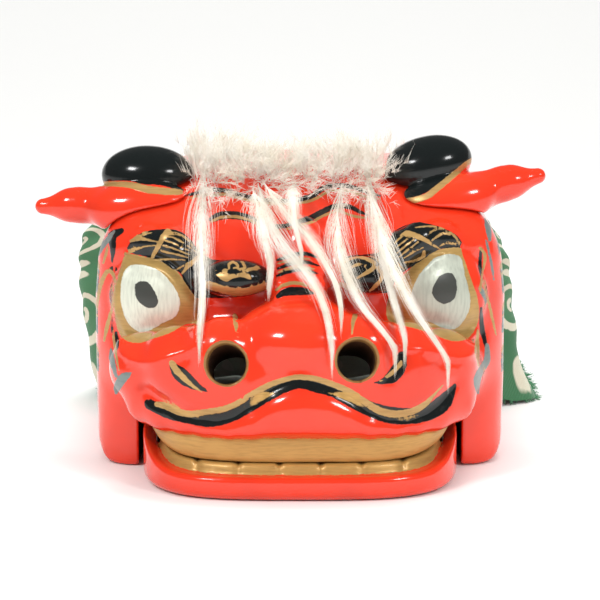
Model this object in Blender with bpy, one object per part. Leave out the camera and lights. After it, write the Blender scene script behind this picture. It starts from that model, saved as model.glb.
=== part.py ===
"""A Japanese lion dance head: lacquered wood, hinged jaw, two ears, white feathers and a green cape.

The head stands on the underside of its jaw and on its two cheeks. +Z is up, the snout points
to -Y, and the origin is on the floor at the middle of the jaw's underside. Sizes are in metres.
The carved head and the ears are worked as clay: rounded masses are joined and cut as distance
fields on a grid, and the grid is turned into a mesh. Their carving is drawn in the carver's
millimetres of a head 236 wide, 224 deep and 166 high, and follows the driving sizes below.
"""

import math

import bmesh
import bpy
import numpy as np
from mathutils import Matrix, Vector

# Driving sizes of the head
HEAD_WIDTH = 0.236
SNOUT_Y = -0.124
REAR_Y = 0.100
CROWN_HEIGHT = 0.166
HEAD_WALL = 0.018
CHEEK_WALL = 0.0255
NOSTRIL_RADIUS = 0.0105

# Driving sizes of the jaw, which lies between the cheeks
JAW_CHEEK_GAP = 0.0035
JAW_FRONT_Y = -0.120
JAW_WALL = 0.008
JAW_FLOOR = 0.008
JAW_LIP_HEIGHT = 0.0125
JAW_ARM_RISE = 0.0110
TOOTH_GAP = 0.0008
TOOTH_PITCH = 0.0225

# The hinge: a peg through each cheek and the jaw's arm inside it
HINGE_Y = 0.074
HINGE_HEIGHT = 0.020
PEG_RADIUS = 0.004
PEG_CLEARANCE = 0.0003

# What is fixed to the head
CARVED_GAP = 0.0009
CAPE_THICKNESS = 0.002
CAPE_GAP = 0.0003
CAPE_DROP_STEPS = 10
CAPE_ARCH_STEPS = 22

# The carver's millimetres
CARVED_WIDTH = 236.0
CARVED_DEPTH = 224.0
CARVED_HEIGHT = 166.0
CARVED_FRONT = -124.0
UNIT = Vector((
    HEAD_WIDTH / CARVED_WIDTH,
    (REAR_Y - SNOUT_Y) / CARVED_DEPTH,
    CROWN_HEIGHT / CARVED_HEIGHT,
))

HEAD_TRIANGLES = 4000
JAW_TRIANGLES = 1000
EAR_TRIANGLES = 360
DOWN_TRIANGLES = 300
FEATHER_LIFT = 2.7

# Ears: side, root, tilt in degrees, and how far the dome is lifted
EARS = [
    (-1, (-68.0, -6.0, 143.5), 1.0, 0.0),
    (1, (60.0, -6.0, 140.5), 16.0, 4.0),
]
DOWN_CLUMPS = [
    ((-54, -6, 168), (19, 20, 22)),
    ((-18, -6, 162), (34, 24, 18)),
    ((24, -6, 165), (26, 22, 20)),
    ((46, -8, 168), (16, 18, 20)),
]
# Feathers, the lowest first: name, half width and the quill's line seen from the front
FEATHERS = [
    ("feather_1", 4.5, [(-55, 170), (-55, 158), (-55, 142), (-54, 126), (-53, 108), (-54, 92)]),
    ("feather_2", 4.5, [(-24, 160), (-17, 146), (-9, 134), (3, 122), (11, 111), (15, 100), (17, 88)]),
    ("feather_3", 4.5, [(24, 160), (21, 146), (21, 132), (26, 119), (33, 106), (43, 96), (51, 86)]),
    ("feather_4", 4.5, [(40, 164), (42, 150), (44, 136), (47, 121), (51, 108), (56, 91)]),
    ("feather_5", 3.5, [(-20, 162), (-6, 149), (5, 139), (14, 127), (20, 116), (22, 106)]),
    ("feather_6", 4.0, [(38, 162), (44, 141), (51, 124), (61, 106), (71, 92), (79, 80)]),
    ("feather_7", 3.0, [(-4, 160), (-3, 148), (-1, 140), (1, 132)]),
    ("feather_8", 4.5, [(-26, 160), (-22, 148), (-19, 136), (-16, 126), (-17, 114)]),
]


def clear_scene():
    for item in list(bpy.data.objects):
        bpy.data.objects.remove(item)


def material(name, colour, roughness, metallic=0.0):
    """A Principled material with one colour."""
    made = bpy.data.materials.new(name)
    made.use_nodes = True
    shader = made.node_tree.nodes["Principled BSDF"]
    shader.inputs["Base Color"].default_value = (*colour, 1.0)
    shader.inputs["Roughness"].default_value = roughness
    shader.inputs["Metallic"].default_value = metallic
    return made


def link(name, mesh, finish):
    """A new object with this mesh and material."""
    made = bpy.data.objects.new(name, mesh)
    bpy.context.scene.collection.objects.link(made)
    if finish is not None:
        made.data.materials.append(finish)
    return made


# Distance fields, in the carver's millimetres


def smooth_min(a, b, blend):
    share = np.clip(0.5 + 0.5 * (b - a) / blend, 0.0, 1.0)
    return b + (a - b) * share - blend * share * (1.0 - share)


def smooth_max(a, b, blend):
    return -smooth_min(-a, -b, blend)


def ball(centre, radii, turn=0.0, tip=0.0):
    """An ellipsoid, turned about Z and then tipped about Y, in degrees."""
    cos_turn, sin_turn = math.cos(math.radians(turn)), math.sin(math.radians(turn))
    cos_tip, sin_tip = math.cos(math.radians(tip)), math.sin(math.radians(tip))

    def field(x, y, z):
        x, y, z = x - centre[0], y - centre[1], z - centre[2]
        x, y = x * cos_turn + y * sin_turn, y * cos_turn - x * sin_turn
        x, z = x * cos_tip + z * sin_tip, z * cos_tip - x * sin_tip
        near = np.sqrt((x / radii[0]) ** 2 + (y / radii[1]) ** 2 + (z / radii[2]) ** 2)
        steep = np.sqrt((x / radii[0] ** 2) ** 2 + (y / radii[1] ** 2) ** 2 + (z / radii[2] ** 2) ** 2)
        return near * (near - 1.0) / np.maximum(steep, 1e-6)

    reach = max(radii)
    field.box = [[c - reach for c in centre], [c + reach for c in centre]]
    return field


def rod(start, end, start_radius, end_radius):
    """A round bar that tapers from one point to another."""
    start, end = np.array(start, float), np.array(end, float)
    along = end - start
    length_squared = float(along @ along)

    def field(x, y, z):
        x, y, z = x - start[0], y - start[1], z - start[2]
        share = np.clip((x * along[0] + y * along[1] + z * along[2]) / length_squared, 0.0, 1.0)
        away = (x - share * along[0]) ** 2 + (y - share * along[1]) ** 2 + (z - share * along[2]) ** 2
        return np.sqrt(away) - (start_radius + share * (end_radius - start_radius))

    reach = max(start_radius, end_radius)
    field.box = [list(np.minimum(start, end) - reach), list(np.maximum(start, end) + reach)]
    return field


def curve_points(points, steps=10):
    """A smooth curve through the points (Catmull-Rom), as an array."""
    points = np.array([points[0], *points, points[-1]], float)
    share = np.linspace(0.0, 1.0, steps, endpoint=False)[:, None]
    pieces = []
    for a, b, c, d in zip(points, points[1:], points[2:], points[3:]):
        pieces.append(0.5 * (
            2 * b + (c - a) * share + (2 * a - 5 * b + 4 * c - d) * share ** 2
            + (3 * b - a - 3 * c + d) * share ** 3
        ))
    return np.vstack([*pieces, points[-1:]])


def away_from_line(across, up, points):
    """The distance in a flat view from a smooth line through the points, where each point may
    carry a third number, the line's half width there, which is taken off."""
    path = curve_points(points)
    nearest = np.full(np.broadcast(across, up).shape, 1e3)
    for start, end in zip(path, path[1:]):
        run = end[:2] - start[:2]
        share = ((across - start[0]) * run[0] + (up - start[1]) * run[1]) / max(float(run @ run), 1e-9)
        share = np.clip(share, 0.0, 1.0)
        away = np.hypot(across - start[0] - share * run[0], up - start[1] - share * run[1])
        if len(start) > 2:
            away = away - (start[2] + share * (end[2] - start[2]))
        nearest = np.minimum(nearest, away)
    return nearest


class Clay:
    """A block of space on a grid, in which forms are joined and cut. Inside is below zero."""

    def __init__(self, low, high, step):
        self.low, self.step = np.array(low, float), step
        self.axes = [np.arange(a, b + step, step) for a, b in zip(low, high)]
        self.field = np.full([len(axis) for axis in self.axes], 50.0)

    def everywhere(self):
        x, y, z = self.axes
        return x[:, None, None], y[None, :, None], z[None, None, :]

    def _window(self, form, blend):
        if not hasattr(form, "box"):
            return tuple(slice(None) for _ in self.axes)
        margin = blend + 2 * self.step
        return tuple(
            slice(np.searchsorted(axis, low - margin), np.searchsorted(axis, high + margin))
            for axis, low, high in zip(self.axes, *form.box)
        )

    def _values(self, form, window):
        x, y, z = (axis[part] for axis, part in zip(self.axes, window))
        return form(x[:, None, None], y[None, :, None], z[None, None, :])

    def join(self, form, blend):
        window = self._window(form, blend)
        self.field[window] = smooth_min(self.field[window], self._values(form, window), blend)

    def cut(self, form, blend):
        window = self._window(form, blend)
        self.field[window] = smooth_max(self.field[window], -self._values(form, window), blend)

    def at(self, x, y, z):
        """The field at the grid point nearest to this one."""
        index = [int(round((value - low) / self.step)) for value, low in zip((x, y, z), self.low)]
        inside = all(0 <= i < n for i, n in zip(index, self.field.shape))
        return self.field[tuple(index)] if inside else 50.0

    def mesh(self, name, unit):
        """The surface where the field is zero, as a mesh whose millimetres are unit long."""
        points, quads = surface_net(filled_corners(self.field))
        points = (self.low + points * self.step) * np.array(unit)
        made = bpy.data.meshes.new(name)
        made.from_pydata(points.tolist(), [], quads.tolist())
        made.validate()
        return made


CUBE_CORNERS = np.array([(i, j, k) for i in (0, 1) for j in (0, 1) for k in (0, 1)])
CUBE_EDGES = [
    (a, b) for a in CUBE_CORNERS for b in CUBE_CORNERS
    if (b - a).sum() == 1 and (b - a).min() == 0
]


def filled_corners(field):
    """The field with each place filled where the clay would meet itself only along an edge."""
    field = field.copy()
    for _ in range(8):
        for axis in range(3):
            plane = np.moveaxis(field, axis, 0)
            corners = [plane[:, :-1, :-1], plane[:, 1:, 1:], plane[:, 1:, :-1], plane[:, :-1, 1:]]
            a, b, c, d = (corner < 0.0 for corner in corners)
            crossing = (a == b) & (c == d) & (a != c)
            for corner in corners:
                corner[crossing & (corner >= 0.0)] = -0.05
    return field


def surface_net(field):
    """One point in each cell that the surface crosses, and one quad for each crossed grid line."""
    inside = field < 0.0
    cells = tuple(n - 1 for n in field.shape)
    filled = np.zeros(cells, np.int8)
    for i, j, k in CUBE_CORNERS:
        filled += inside[i:i + cells[0], j:j + cells[1], k:k + cells[2]]
    crossed = np.argwhere((filled > 0) & (filled < 8))
    number = np.full(cells, -1)
    number[tuple(crossed.T)] = np.arange(len(crossed))

    total, hits = np.zeros((len(crossed), 3)), np.zeros(len(crossed))
    for start, end in CUBE_EDGES:
        from_value = field[tuple((crossed + start).T)]
        to_value = field[tuple((crossed + end).T)]
        hit = (from_value < 0.0) != (to_value < 0.0)
        share = np.where(hit, from_value / np.where(hit, from_value - to_value, 1.0), 0.0)
        total += hit[:, None] * (start + share[:, None] * (end - start))
        hits += hit
    points = crossed + total / hits[:, None]

    quads = []
    for axis in range(3):
        first, second = (axis + 1) % 3, (axis + 2) % 3
        here = np.moveaxis(inside, (axis, first, second), (0, 1, 2))
        numbers = np.moveaxis(number, (axis, first, second), (0, 1, 2))
        change = here[:-1, 1:-1, 1:-1] != here[1:, 1:-1, 1:-1]
        a, b, c = np.nonzero(change)
        around = np.stack([
            numbers[a, b, c], numbers[a, b + 1, c], numbers[a, b + 1, c + 1], numbers[a, b, c + 1]
        ], axis=1)
        leaving = here[:-1, 1:-1, 1:-1][a, b, c]
        quads.append(np.where(leaving[:, None], around, around[:, ::-1]))
    return points, np.vstack(quads)


# The carved head


def superellipse(x, y, middle_y, half_width, half_depth, power):
    """How far a point is outside a rounded box seen from above, in millimetres."""
    across = np.abs(x) / half_width
    along = np.abs(np.minimum(y - middle_y, 0.0)) / half_depth
    return ((across ** power + along ** power) ** (1 / power) - 1.0) * half_depth


def skull(x, y, z):
    """The box-like back of the head, with rounded upper corners and a forehead that slopes back."""
    corner = 46.0
    side = np.abs(x) - (118.0 - 6.0 * np.clip((z - 95.0) / 70.0, 0.0, 1.0) - corner)
    top = z - (163.0 + 3.0 * np.cos(x / 40.0) - corner)
    outline = np.hypot(np.maximum(side, 0.0), np.maximum(top, 0.0))
    outline = outline + np.minimum(np.maximum(side, top), 0.0) - corner
    face = -64.0 + 24.0 * (np.abs(x) / 100.0) ** 2.2 - y
    forehead = (z - 129.0) * 0.85 - (y + 62.0) * 0.53
    front = smooth_max(smooth_max(outline, face, 16.0), forehead, 14.0)
    cheek_edge = np.hypot(np.maximum(np.abs(x) - 98.0, 0.0), np.maximum(16.0 - z, 0.0)) - 20.0
    heel = (y - HINGE_Y / UNIT.y) * 0.454 - z * 0.891
    front = smooth_max(front, np.where(z < 30.0, cheek_edge, -50.0), 2.0)
    return smooth_max(smooth_max(smooth_max(front, y - 100.0, 3.0), -z, 3.0), heel, 3.0)


def muzzle(x, y, z):
    """The broad snout over the mouth, whose sides run back into the cheeks."""
    plan = superellipse(x, y, -34.0, 105.0 - 0.02 * np.maximum(62.0 - z, 0.0) ** 2, 88.0, 2.7)
    upper = z - (88.0 - 0.0009 * x ** 2)
    return smooth_max(smooth_max(smooth_max(plan, upper, 26.0), 36.0 - z, 9.0), y - 20.0, 9.0)


LIP_LINE = [
    (-84, 57), (-74, 52), (-62, 47), (-50, 45), (-38, 46), (-26, 53), (-12, 64), (0, 67),
    (14, 64), (26, 58), (38, 49), (50, 45), (62, 45), (74, 50), (84, 60),
]
LEFT_EYE = [
    (-97, 121), (-88, 119), (-76, 117), (-67, 108), (-59, 96), (-57, 86),
    (-72, 79), (-86, 74), (-98, 78), (-104, 89), (-103, 105), (-97, 121),
]
RIGHT_EYE = [
    (75, 123), (88, 124), (98, 117), (103, 101), (103, 88), (97, 77),
    (84, 77), (68, 83), (52, 86), (48, 94), (52, 102), (63, 113), (75, 123),
]
LEFT_BROW = [(-98, 125), (-85, 130), (-73, 130.5), (-63, 125), (-56, 117), (-47, 113)]
RIGHT_BROW = [(92, 127), (79, 133), (67, 134), (56, 129), (49, 121), (42, 116)]
NOSTRILS = [(-39.5, -118, 76), (30.5, -118, 78)]


def face_y(x):
    """Where the brows stand, seen from above."""
    return -69.0 + 0.0040 * x * x


def face_relief(across, up):
    """Height added to the face, seen from the front: eye rims, the lip's crease, forehead waves."""
    height = np.zeros(np.broadcast(across, up).shape)
    for rim in (LEFT_EYE, RIGHT_EYE):
        height += 1.8 * np.exp(-((away_from_line(across, up, rim) / 3.0) ** 2))
    height -= 3.0 * np.exp(-((away_from_line(across, up, LIP_LINE) / 5.0) ** 2))
    for level in (143.0, 153.0):
        wave = level + 2.5 * np.cos(across / 10.0)
        height += 1.2 * np.exp(-(((up - wave) / 3.5) ** 2)) * (np.abs(across) < 58)
    return height


def crown(x, y, z):
    """The skull with its relief, which the ears and the down lie against."""
    return skull(x, y, z) - face_relief(x, z) * np.clip((10.0 - y) / 40.0, 0.0, 1.0)


def head_clay(step):
    """The whole outside of the upper head, with its upper teeth."""
    clay = Clay((-124, -132, -6), (124, 106, 174), step)
    clay.join(skull, 1.0)
    clay.join(muzzle, 12.0)

    # The lower edge of the snout, in front of the cheeks
    def under_muzzle(x, y, z):
        lip = 35.5 + 2.5 * np.cos(np.clip(x, -88, 88) / 20.0)
        return smooth_max(y + 42.0, z - lip, 6.0)

    clay.cut(under_muzzle, 6.0)

    # The ball of the nose, the wings round the nostrils and the puffed lips beside them
    clay.join(ball((0, -92, 85), (37, 33, 22)), 6.0)
    for x, y, z in NOSTRILS:
        side = math.copysign(1.0, x)
        clay.join(ball((x + side * 2, -104, z + 2), (20, 18, 21)), 5.0)
        clay.join(ball((x + side * 27, -93, z - 4), (20, 20, 20)), 7.0)
        clay.join(ball((x + side * 48, -76, z - 10), (18, 22, 18)), 9.0)
    lower_lip = []
    for x, z in LIP_LINE:
        fullness = (z - 33.0) / 2.0 - 0.5
        lower_lip.append(((x, -122.0 + 0.0043 * x * x + 0.9 * fullness, 34.5 + fullness), fullness))
    for (start, start_radius), (end, end_radius) in zip(lower_lip, lower_lip[1:]):
        clay.join(rod(start, end, start_radius, end_radius), 6.0)

    # Brows: a roll over each eye that ends in a curl beside the nose, with wrinkles between them
    for brow in (LEFT_BROW, RIGHT_BROW):
        for start, end in zip(brow, brow[1:]):
            path = [(x, face_y(x) - 1.0, z) for x, z in (start, end)]
            clay.join(rod(*path, 9.0, 9.0), 4.0)
    for x, z in ((-36, 115), (36, 117)):
        clay.join(ball((x, -74, z), (20, 13, 10.5)), 3.0)
    for middle, turn in (((-80, -48, 99), -26.0), ((78, -48, 101), 26.0)):
        clay.join(ball(middle, (29, 14, 24), turn=turn), 4.0)
    clay.join(rod((0, -78, 98), (0, -62, 136), 15.0, 12.0), 10.0)
    for lift in range(4):
        back = -91.0 + 4.5 * lift
        clay.join(rod((-10, back, 106 + 7.5 * lift), (10, back, 106 + 7.5 * lift), 4.5, 4.5), 3.0)

    x, y, z = clay.everywhere()
    clay.field -= face_relief(x, z) * np.clip((10.0 - y) / 40.0, 0.0, 1.0)

    # The row of upper teeth, an arch under the lip that leans out
    def tooth_arch(x, y, z):
        lean = 0.22 * (z - 20.0)
        outer = superellipse(x, y, -34.0, 78.0 + lean, 75.5 + lean, 3.0)
        band = np.abs(outer + 5.0) - 5.0
        lowest = (JAW_LIP_HEIGHT + 0.0063 + TOOTH_GAP) / UNIT.z
        lowest = lowest + 15.0 * (np.abs(x) / 80.0) ** 6 + 6.0 * np.clip((y + 80.0) / 40.0, 0.0, 1.0)
        return smooth_max(smooth_max(band, np.maximum(lowest - z, z - 60.0), 2.0), y + 44.0, 2.0)

    clay.join(tooth_arch, 1.5)
    return clay


def hollow_clay(step):
    """The inside of the head: its own form, less the wall, open below and behind."""
    wall = HEAD_WALL / UNIT.y
    half_width = (HEAD_WIDTH / 2 - CHEEK_WALL) / UNIT.x
    clay = Clay((-112, -118, -16), (112, 122, 160), step)

    def inside(x, y, z):
        raised = np.maximum(z, 62.0)
        shell = smooth_min(skull(x, np.minimum(y, 60.0), raised), muzzle(x, y, raised), 12.0) + wall
        held = smooth_max(shell, np.abs(x) - half_width, 6.0)
        mouth = superellipse(x, y, -34.0, 72.0, 68.0, 3.0)
        held = smooth_max(held, np.minimum(mouth, -38.0 - y), 3.0)
        jaw_room = smooth_max(np.maximum(np.abs(x) - half_width, -52.0 - y), z - 33.0, 3.0)
        held = np.minimum(held, jaw_room)
        return smooth_max(smooth_max(held, y - 112.0, 2.0), -8.0 - z, 2.0)

    clay.join(inside, 1.0)
    return clay


# The jaw


def jaw_clay(step):
    """The lower jaw: a tray with a smiling rim, a row of teeth inside it and an arm to each hinge."""
    half_width = (HEAD_WIDTH / 2 - CHEEK_WALL - JAW_CHEEK_GAP) / UNIT.x
    half_depth = -34.0 - JAW_FRONT_Y / UNIT.y
    wall, floor = JAW_WALL / UNIT.y, JAW_FLOOR / UNIT.z
    lip = JAW_LIP_HEIGHT / UNIT.z
    hinge_y, hinge_z = HINGE_Y / UNIT.y, HINGE_HEIGHT / UNIT.z
    pitch = TOOTH_PITCH / UNIT.x
    arm_top = hinge_z + JAW_ARM_RISE / UNIT.z
    clay = Clay((-96, -128, -6), (96, 100, 60), step)

    def rim_height(x, y):
        smile = 15.0 * (np.abs(x) / half_width) ** 7 * np.clip((y + 112.0) / 40.0, 0.0, 1.0) ** 0.7
        near_hinge = np.clip((y - hinge_y + 50.0) / 40.0, 0.0, 1.0)
        return smooth_max(lip + smile, lip + (arm_top - lip) * near_hinge, 2.0)

    def tray(x, y, z):
        outer = superellipse(x, y, -34.0, half_width, half_depth, 3.4)
        ends = np.hypot(np.maximum(y - hinge_y, 0.0), z - hinge_z) - (hinge_z - 0.5)
        outer = smooth_max(outer, np.where(y > hinge_y, ends, -20.0), 1.0)
        edge = np.hypot(np.maximum(outer + 5.0, 0.0), np.maximum(5.0 - z, 0.0)) - 5.0
        body = smooth_max(np.maximum(outer, edge), z - rim_height(x, y), 3.0)
        return np.maximum(body, -z)

    def tray_inside(x, y, z):
        inner = superellipse(x, y, -34.0, half_width - wall, half_depth - wall, 3.4)
        bottom = np.where(y > 26.0, -20.0, floor)
        return smooth_max(inner, bottom - z, 2.0)

    def teeth(x, y, z):
        lean = 0.3 * (z - 12.0)
        outer = superellipse(x, y, -34.0, half_width - 6.0 - lean, half_depth - 6.5 - lean, 3.2)
        top = lip + 6.3 + 12.0 * (np.abs(x) / half_width) ** 7 * np.clip((y + 112.0) / 40.0, 0.0, 1.0)
        top = top - 1.4 * np.exp(-((np.abs((x / pitch) % 1.0 - 0.5) * pitch / 1.6) ** 2))
        band = smooth_max(outer, -(outer + 10.0), 2.0)
        return smooth_max(smooth_max(band, z - top, 2.0), np.maximum(2.0 - z, y + 60.0), 2.0)

    clay.join(tray, 1.0)
    clay.cut(tray_inside, 1.0)
    clay.join(teeth, 1.0)
    return clay


# The ears and the down, in the head's own place


def placed(form, root, side, tilt):
    """A form that lies along +X, put at a root on one side of the head and tilted up."""
    cos_tilt, sin_tilt = math.cos(math.radians(tilt)), math.sin(math.radians(tilt))

    def field(x, y, z):
        out, up = side * (x - root[0]), z - root[2]
        along, lift = out * cos_tilt + up * sin_tilt, up * cos_tilt - out * sin_tilt
        return form(along, y - root[1], lift)

    return field


def ear_forms(dome_lift):
    """An ear along +X from its root: a red leaf with a black dome on top, carved as one."""
    return [
        (ball((20, 0, 0), (34, 18, 15)), 1.0),
        (rod((34, -3, 2.0), (64, -4, 2.0), 11.5, 9.5), 6.0),
        (rod((60, -4, 2.0), (80, -4, 1.0), 9.0, 4.5), 5.0),
        (ball((20, 5, 19 + dome_lift), (27, 20, 17)), 1.5),
    ]


def ear_clay(step, side, root, tilt, dome_lift):
    low, high = ((-170, -42, 110), (-46, 40, 192)) if side < 0 else ((36, -42, 112), (160, 40, 200))
    clay = Clay(low, high, step)
    for form, blend in ear_forms(dome_lift):
        clay.join(placed(form, root, side, tilt), blend)
    gap = CARVED_GAP / UNIT.x
    clay.cut(lambda x, y, z: crown(x, y, z) - gap, 3.0)
    return clay


def down_clay(step):
    """The white down that covers the crown between the ears."""
    clay = Clay((-80, -46, 140), (66, 40, 200), step)
    for middle, radii in DOWN_CLUMPS:
        clay.join(ball(middle, radii), 6.0)
    for side, root, tilt, dome_lift in EARS:
        for form, blend in ear_forms(dome_lift):
            placed_form = placed(form, root, side, tilt)
            clay.cut(lambda x, y, z, near=placed_form: near(x, y, z) - 1.5, 3.0)
    gap = CARVED_GAP / UNIT.x
    clay.cut(lambda x, y, z: crown(x, y, z) - gap, 3.0)
    return clay


def front_of(clay):
    """Where the clay's front surface is at each x and z of its grid, and where it has none, its back."""
    inside = clay.field < 0.0
    first = inside.argmax(axis=1)
    return np.where(inside.any(axis=1), clay.axes[1][first], 1e3)


# Turning the clay into parts


def decimated(obj, triangles):
    """A Decimate modifier that leaves about this many triangles."""
    change = obj.modifiers.new("fewer faces", "DECIMATE")
    change.ratio = min(1.0, triangles / (2.0 * len(obj.data.polygons)))


def difference(obj, cutter):
    cutter.hide_render = True
    cutter.display_type = "WIRE"
    change = obj.modifiers.new("cut " + cutter.name, "BOOLEAN")
    change.operation = "DIFFERENCE"
    change.object = cutter


def in_place(point):
    """A point in the carver's millimetres, in metres on the head."""
    return Vector((point[0] * UNIT.x, point[1] * UNIT.y, point[2] * UNIT.z))


def cylinder(name, radius, start, end, finish=None, segments=32):
    """A closed cylinder between two points."""
    start, end = Vector(start), Vector(end)
    made = bmesh.new()
    bmesh.ops.create_cone(
        made, cap_ends=True, segments=segments, radius1=radius, radius2=radius, depth=(end - start).length
    )
    mesh = bpy.data.meshes.new(name)
    made.to_mesh(mesh)
    made.free()
    turn = (end - start).to_track_quat("Z", "Y").to_matrix().to_4x4()
    mesh.transform(Matrix.Translation((start + end) / 2) @ turn)
    return link(name, mesh, finish)


def peg_cutter(name, side, start_x, end_x):
    """A bore through the wood at one end of the hinge."""
    return cylinder(
        name, PEG_RADIUS + PEG_CLEARANCE,
        (side * start_x, HINGE_Y, HINGE_HEIGHT), (side * end_x, HINGE_Y, HINGE_HEIGHT),
    )


def make_upper_head(clay, finish):
    head = link("upper_head", clay.mesh("upper_head", UNIT), finish)
    decimated(head, HEAD_TRIANGLES)
    hollow = link("hollow_cutter", hollow_clay(4.0).mesh("hollow_cutter", UNIT), None)
    decimated(hollow, 500)
    difference(head, hollow)
    inner_x = HEAD_WIDTH / 2 - CHEEK_WALL
    for side, name, nostril in ((-1, "left", NOSTRILS[0]), (1, "right", NOSTRILS[1])):
        middle = in_place(nostril)
        inward = Vector((-side * 0.08, 0.93, -0.34)).normalized()
        bore = cylinder(
            "nostril_cutter_" + name, NOSTRIL_RADIUS, middle - inward * 0.02, middle + inward * 0.05
        )
        difference(head, bore)
        difference(head, peg_cutter("cheek_bore_" + name, side, inner_x - 0.01, HEAD_WIDTH / 2 + 0.02))
    return head


def make_lower_jaw(finish):
    jaw = link("lower_jaw", jaw_clay(2.0).mesh("lower_jaw", UNIT), finish)
    decimated(jaw, JAW_TRIANGLES)
    outer_x = HEAD_WIDTH / 2 - CHEEK_WALL - JAW_CHEEK_GAP
    floor_cut = bpy.data.meshes.new("floor_cutter")
    made = bmesh.new()
    bmesh.ops.create_cube(made, size=1.0)
    made.to_mesh(floor_cut)
    made.free()
    floor_cut.transform(Matrix.Translation((0, 0, -0.05)) @ Matrix.Diagonal((0.5, 0.5, 0.1, 1.0)))
    difference(jaw, link("floor_cutter", floor_cut, None))
    for side, name in ((-1, "left"), (1, "right")):
        cutter = peg_cutter("jaw_bore_" + name, side, outer_x - JAW_WALL - 0.01, outer_x + 0.01)
        difference(jaw, cutter)
    return jaw


def make_pegs(finish):
    """A short dowel through each cheek into the jaw's arm, its end a little proud of the cheek."""
    outer_x = HEAD_WIDTH / 2 + 0.0015
    inner_x = HEAD_WIDTH / 2 - CHEEK_WALL - JAW_CHEEK_GAP - JAW_WALL + 0.001
    for side, name in ((-1, "jaw_peg_left"), (1, "jaw_peg_right")):
        start, end = (side * inner_x, HINGE_Y, HINGE_HEIGHT), (side * outer_x, HINGE_Y, HINGE_HEIGHT)
        cylinder(name, PEG_RADIUS, start, end, finish, segments=24)


def make_ears(finish):
    for (side, root, tilt, dome_lift), name in zip(EARS, ("ear_left", "ear_right")):
        clay = ear_clay(2.0, side, root, tilt, dome_lift)
        ear = link(name, clay.mesh(name, UNIT), finish)
        decimated(ear, EAR_TRIANGLES)


def arch_point(across, width_left, width_right, height, low, power):
    """A point of an arch: across runs from -1 at its left foot over the top to 1 at its right foot."""
    angle = math.pi / 2 * (1.0 - across)
    cos_angle, sin_angle = math.cos(angle), max(math.sin(angle), 0.0)
    width = width_right if cos_angle > 0 else width_left
    x = width * math.copysign(abs(cos_angle) ** (2 / power), cos_angle)
    return x, low + (height - low) * sin_angle ** (2 / power)


def ease(value, start, end):
    share = min(max((value - start) / (end - start), 0.0), 1.0)
    return share * share * (3.0 - 2.0 * share)


CAPE_GAP_LINE = CARVED_FRONT + CARVED_DEPTH + (CAPE_GAP + CAPE_THICKNESS / 2) / UNIT.y


def cape_point(across, back):
    """The cape's middle surface in the carver's millimetres, from the rear rim to its hem."""
    fall = ease(back, 0.10, 0.86)
    spread = ease(back, 0.0, 0.2)
    height = 159.0 - 156.0 * fall
    x, z = arch_point(across, 111.0, 111.0, height, 20.0 - 18.0 * ease(back, 0.0, 0.25), 3.8 - 1.2 * fall)
    if x < 0.0:
        x *= 1.0 + spread * (0.27 - 0.15 * ease(100.0 - z, 0.0, 90.0))
    else:
        x *= 1.0 + spread * (0.16 + 0.13 * ease(70.0 - z, 0.0, 65.0))
    y = CAPE_GAP_LINE + 104.0 * back
    slope = ease(abs(across), 0.55, 1.0)
    fold = math.sin(9.0 * across + 5.0 * back) * 4.0 * spread
    y += 22.0 * slope * back + fold * ease(z, 5.0, 40.0)
    return x, y, z


def make_cape(finish):
    made = bmesh.new()
    rows = []
    for i in range(CAPE_DROP_STEPS + 1):
        back = i / CAPE_DROP_STEPS
        rows.append([
            made.verts.new(in_place(cape_point(2 * j / CAPE_ARCH_STEPS - 1, back)))
            for j in range(CAPE_ARCH_STEPS + 1)
        ])
    for row, after in zip(rows, rows[1:]):
        for a, b, c, d in zip(row, row[1:], after[1:], after):
            made.faces.new((a, b, c, d))
    mesh = bpy.data.meshes.new("cape_cloth")
    made.to_mesh(mesh)
    made.free()
    cape = link("cape_cloth", mesh, finish)
    thicken = cape.modifiers.new("cloth", "SOLIDIFY")
    thicken.thickness = CAPE_THICKNESS
    thicken.offset = 0.0
    return cape


def make_down(clay, finish):
    down = link("feather_down", clay.mesh("feather_down", UNIT), finish)
    decimated(down, DOWN_TRIANGLES)
    return down


def hanging(needed):
    """A line pulled tight in front of the carving, which then hangs straight down."""
    limit = np.minimum.accumulate(needed)
    line = limit.copy()
    for _ in range(200):
        line[1:-1] = np.minimum(limit[1:-1], (line[:-2] + line[2:]) / 2)
    return line


def blade_ring(point, share, width):
    """The four corners of a feather's blade at a share of the way along its quill."""
    half = width * (0.45 + 0.55 * math.sin(math.pi * min(share * 1.3 + 0.15, 1.0)))
    half = half * (1.0 - share ** 6) + 0.4
    corners = ((-half, 0.0, 0.0), (0.0, -0.5, 0.3), (half, 0.0, 0.0), (0.0, 0.5, -0.3))
    return [np.array(point) + corner for corner in corners]


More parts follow.
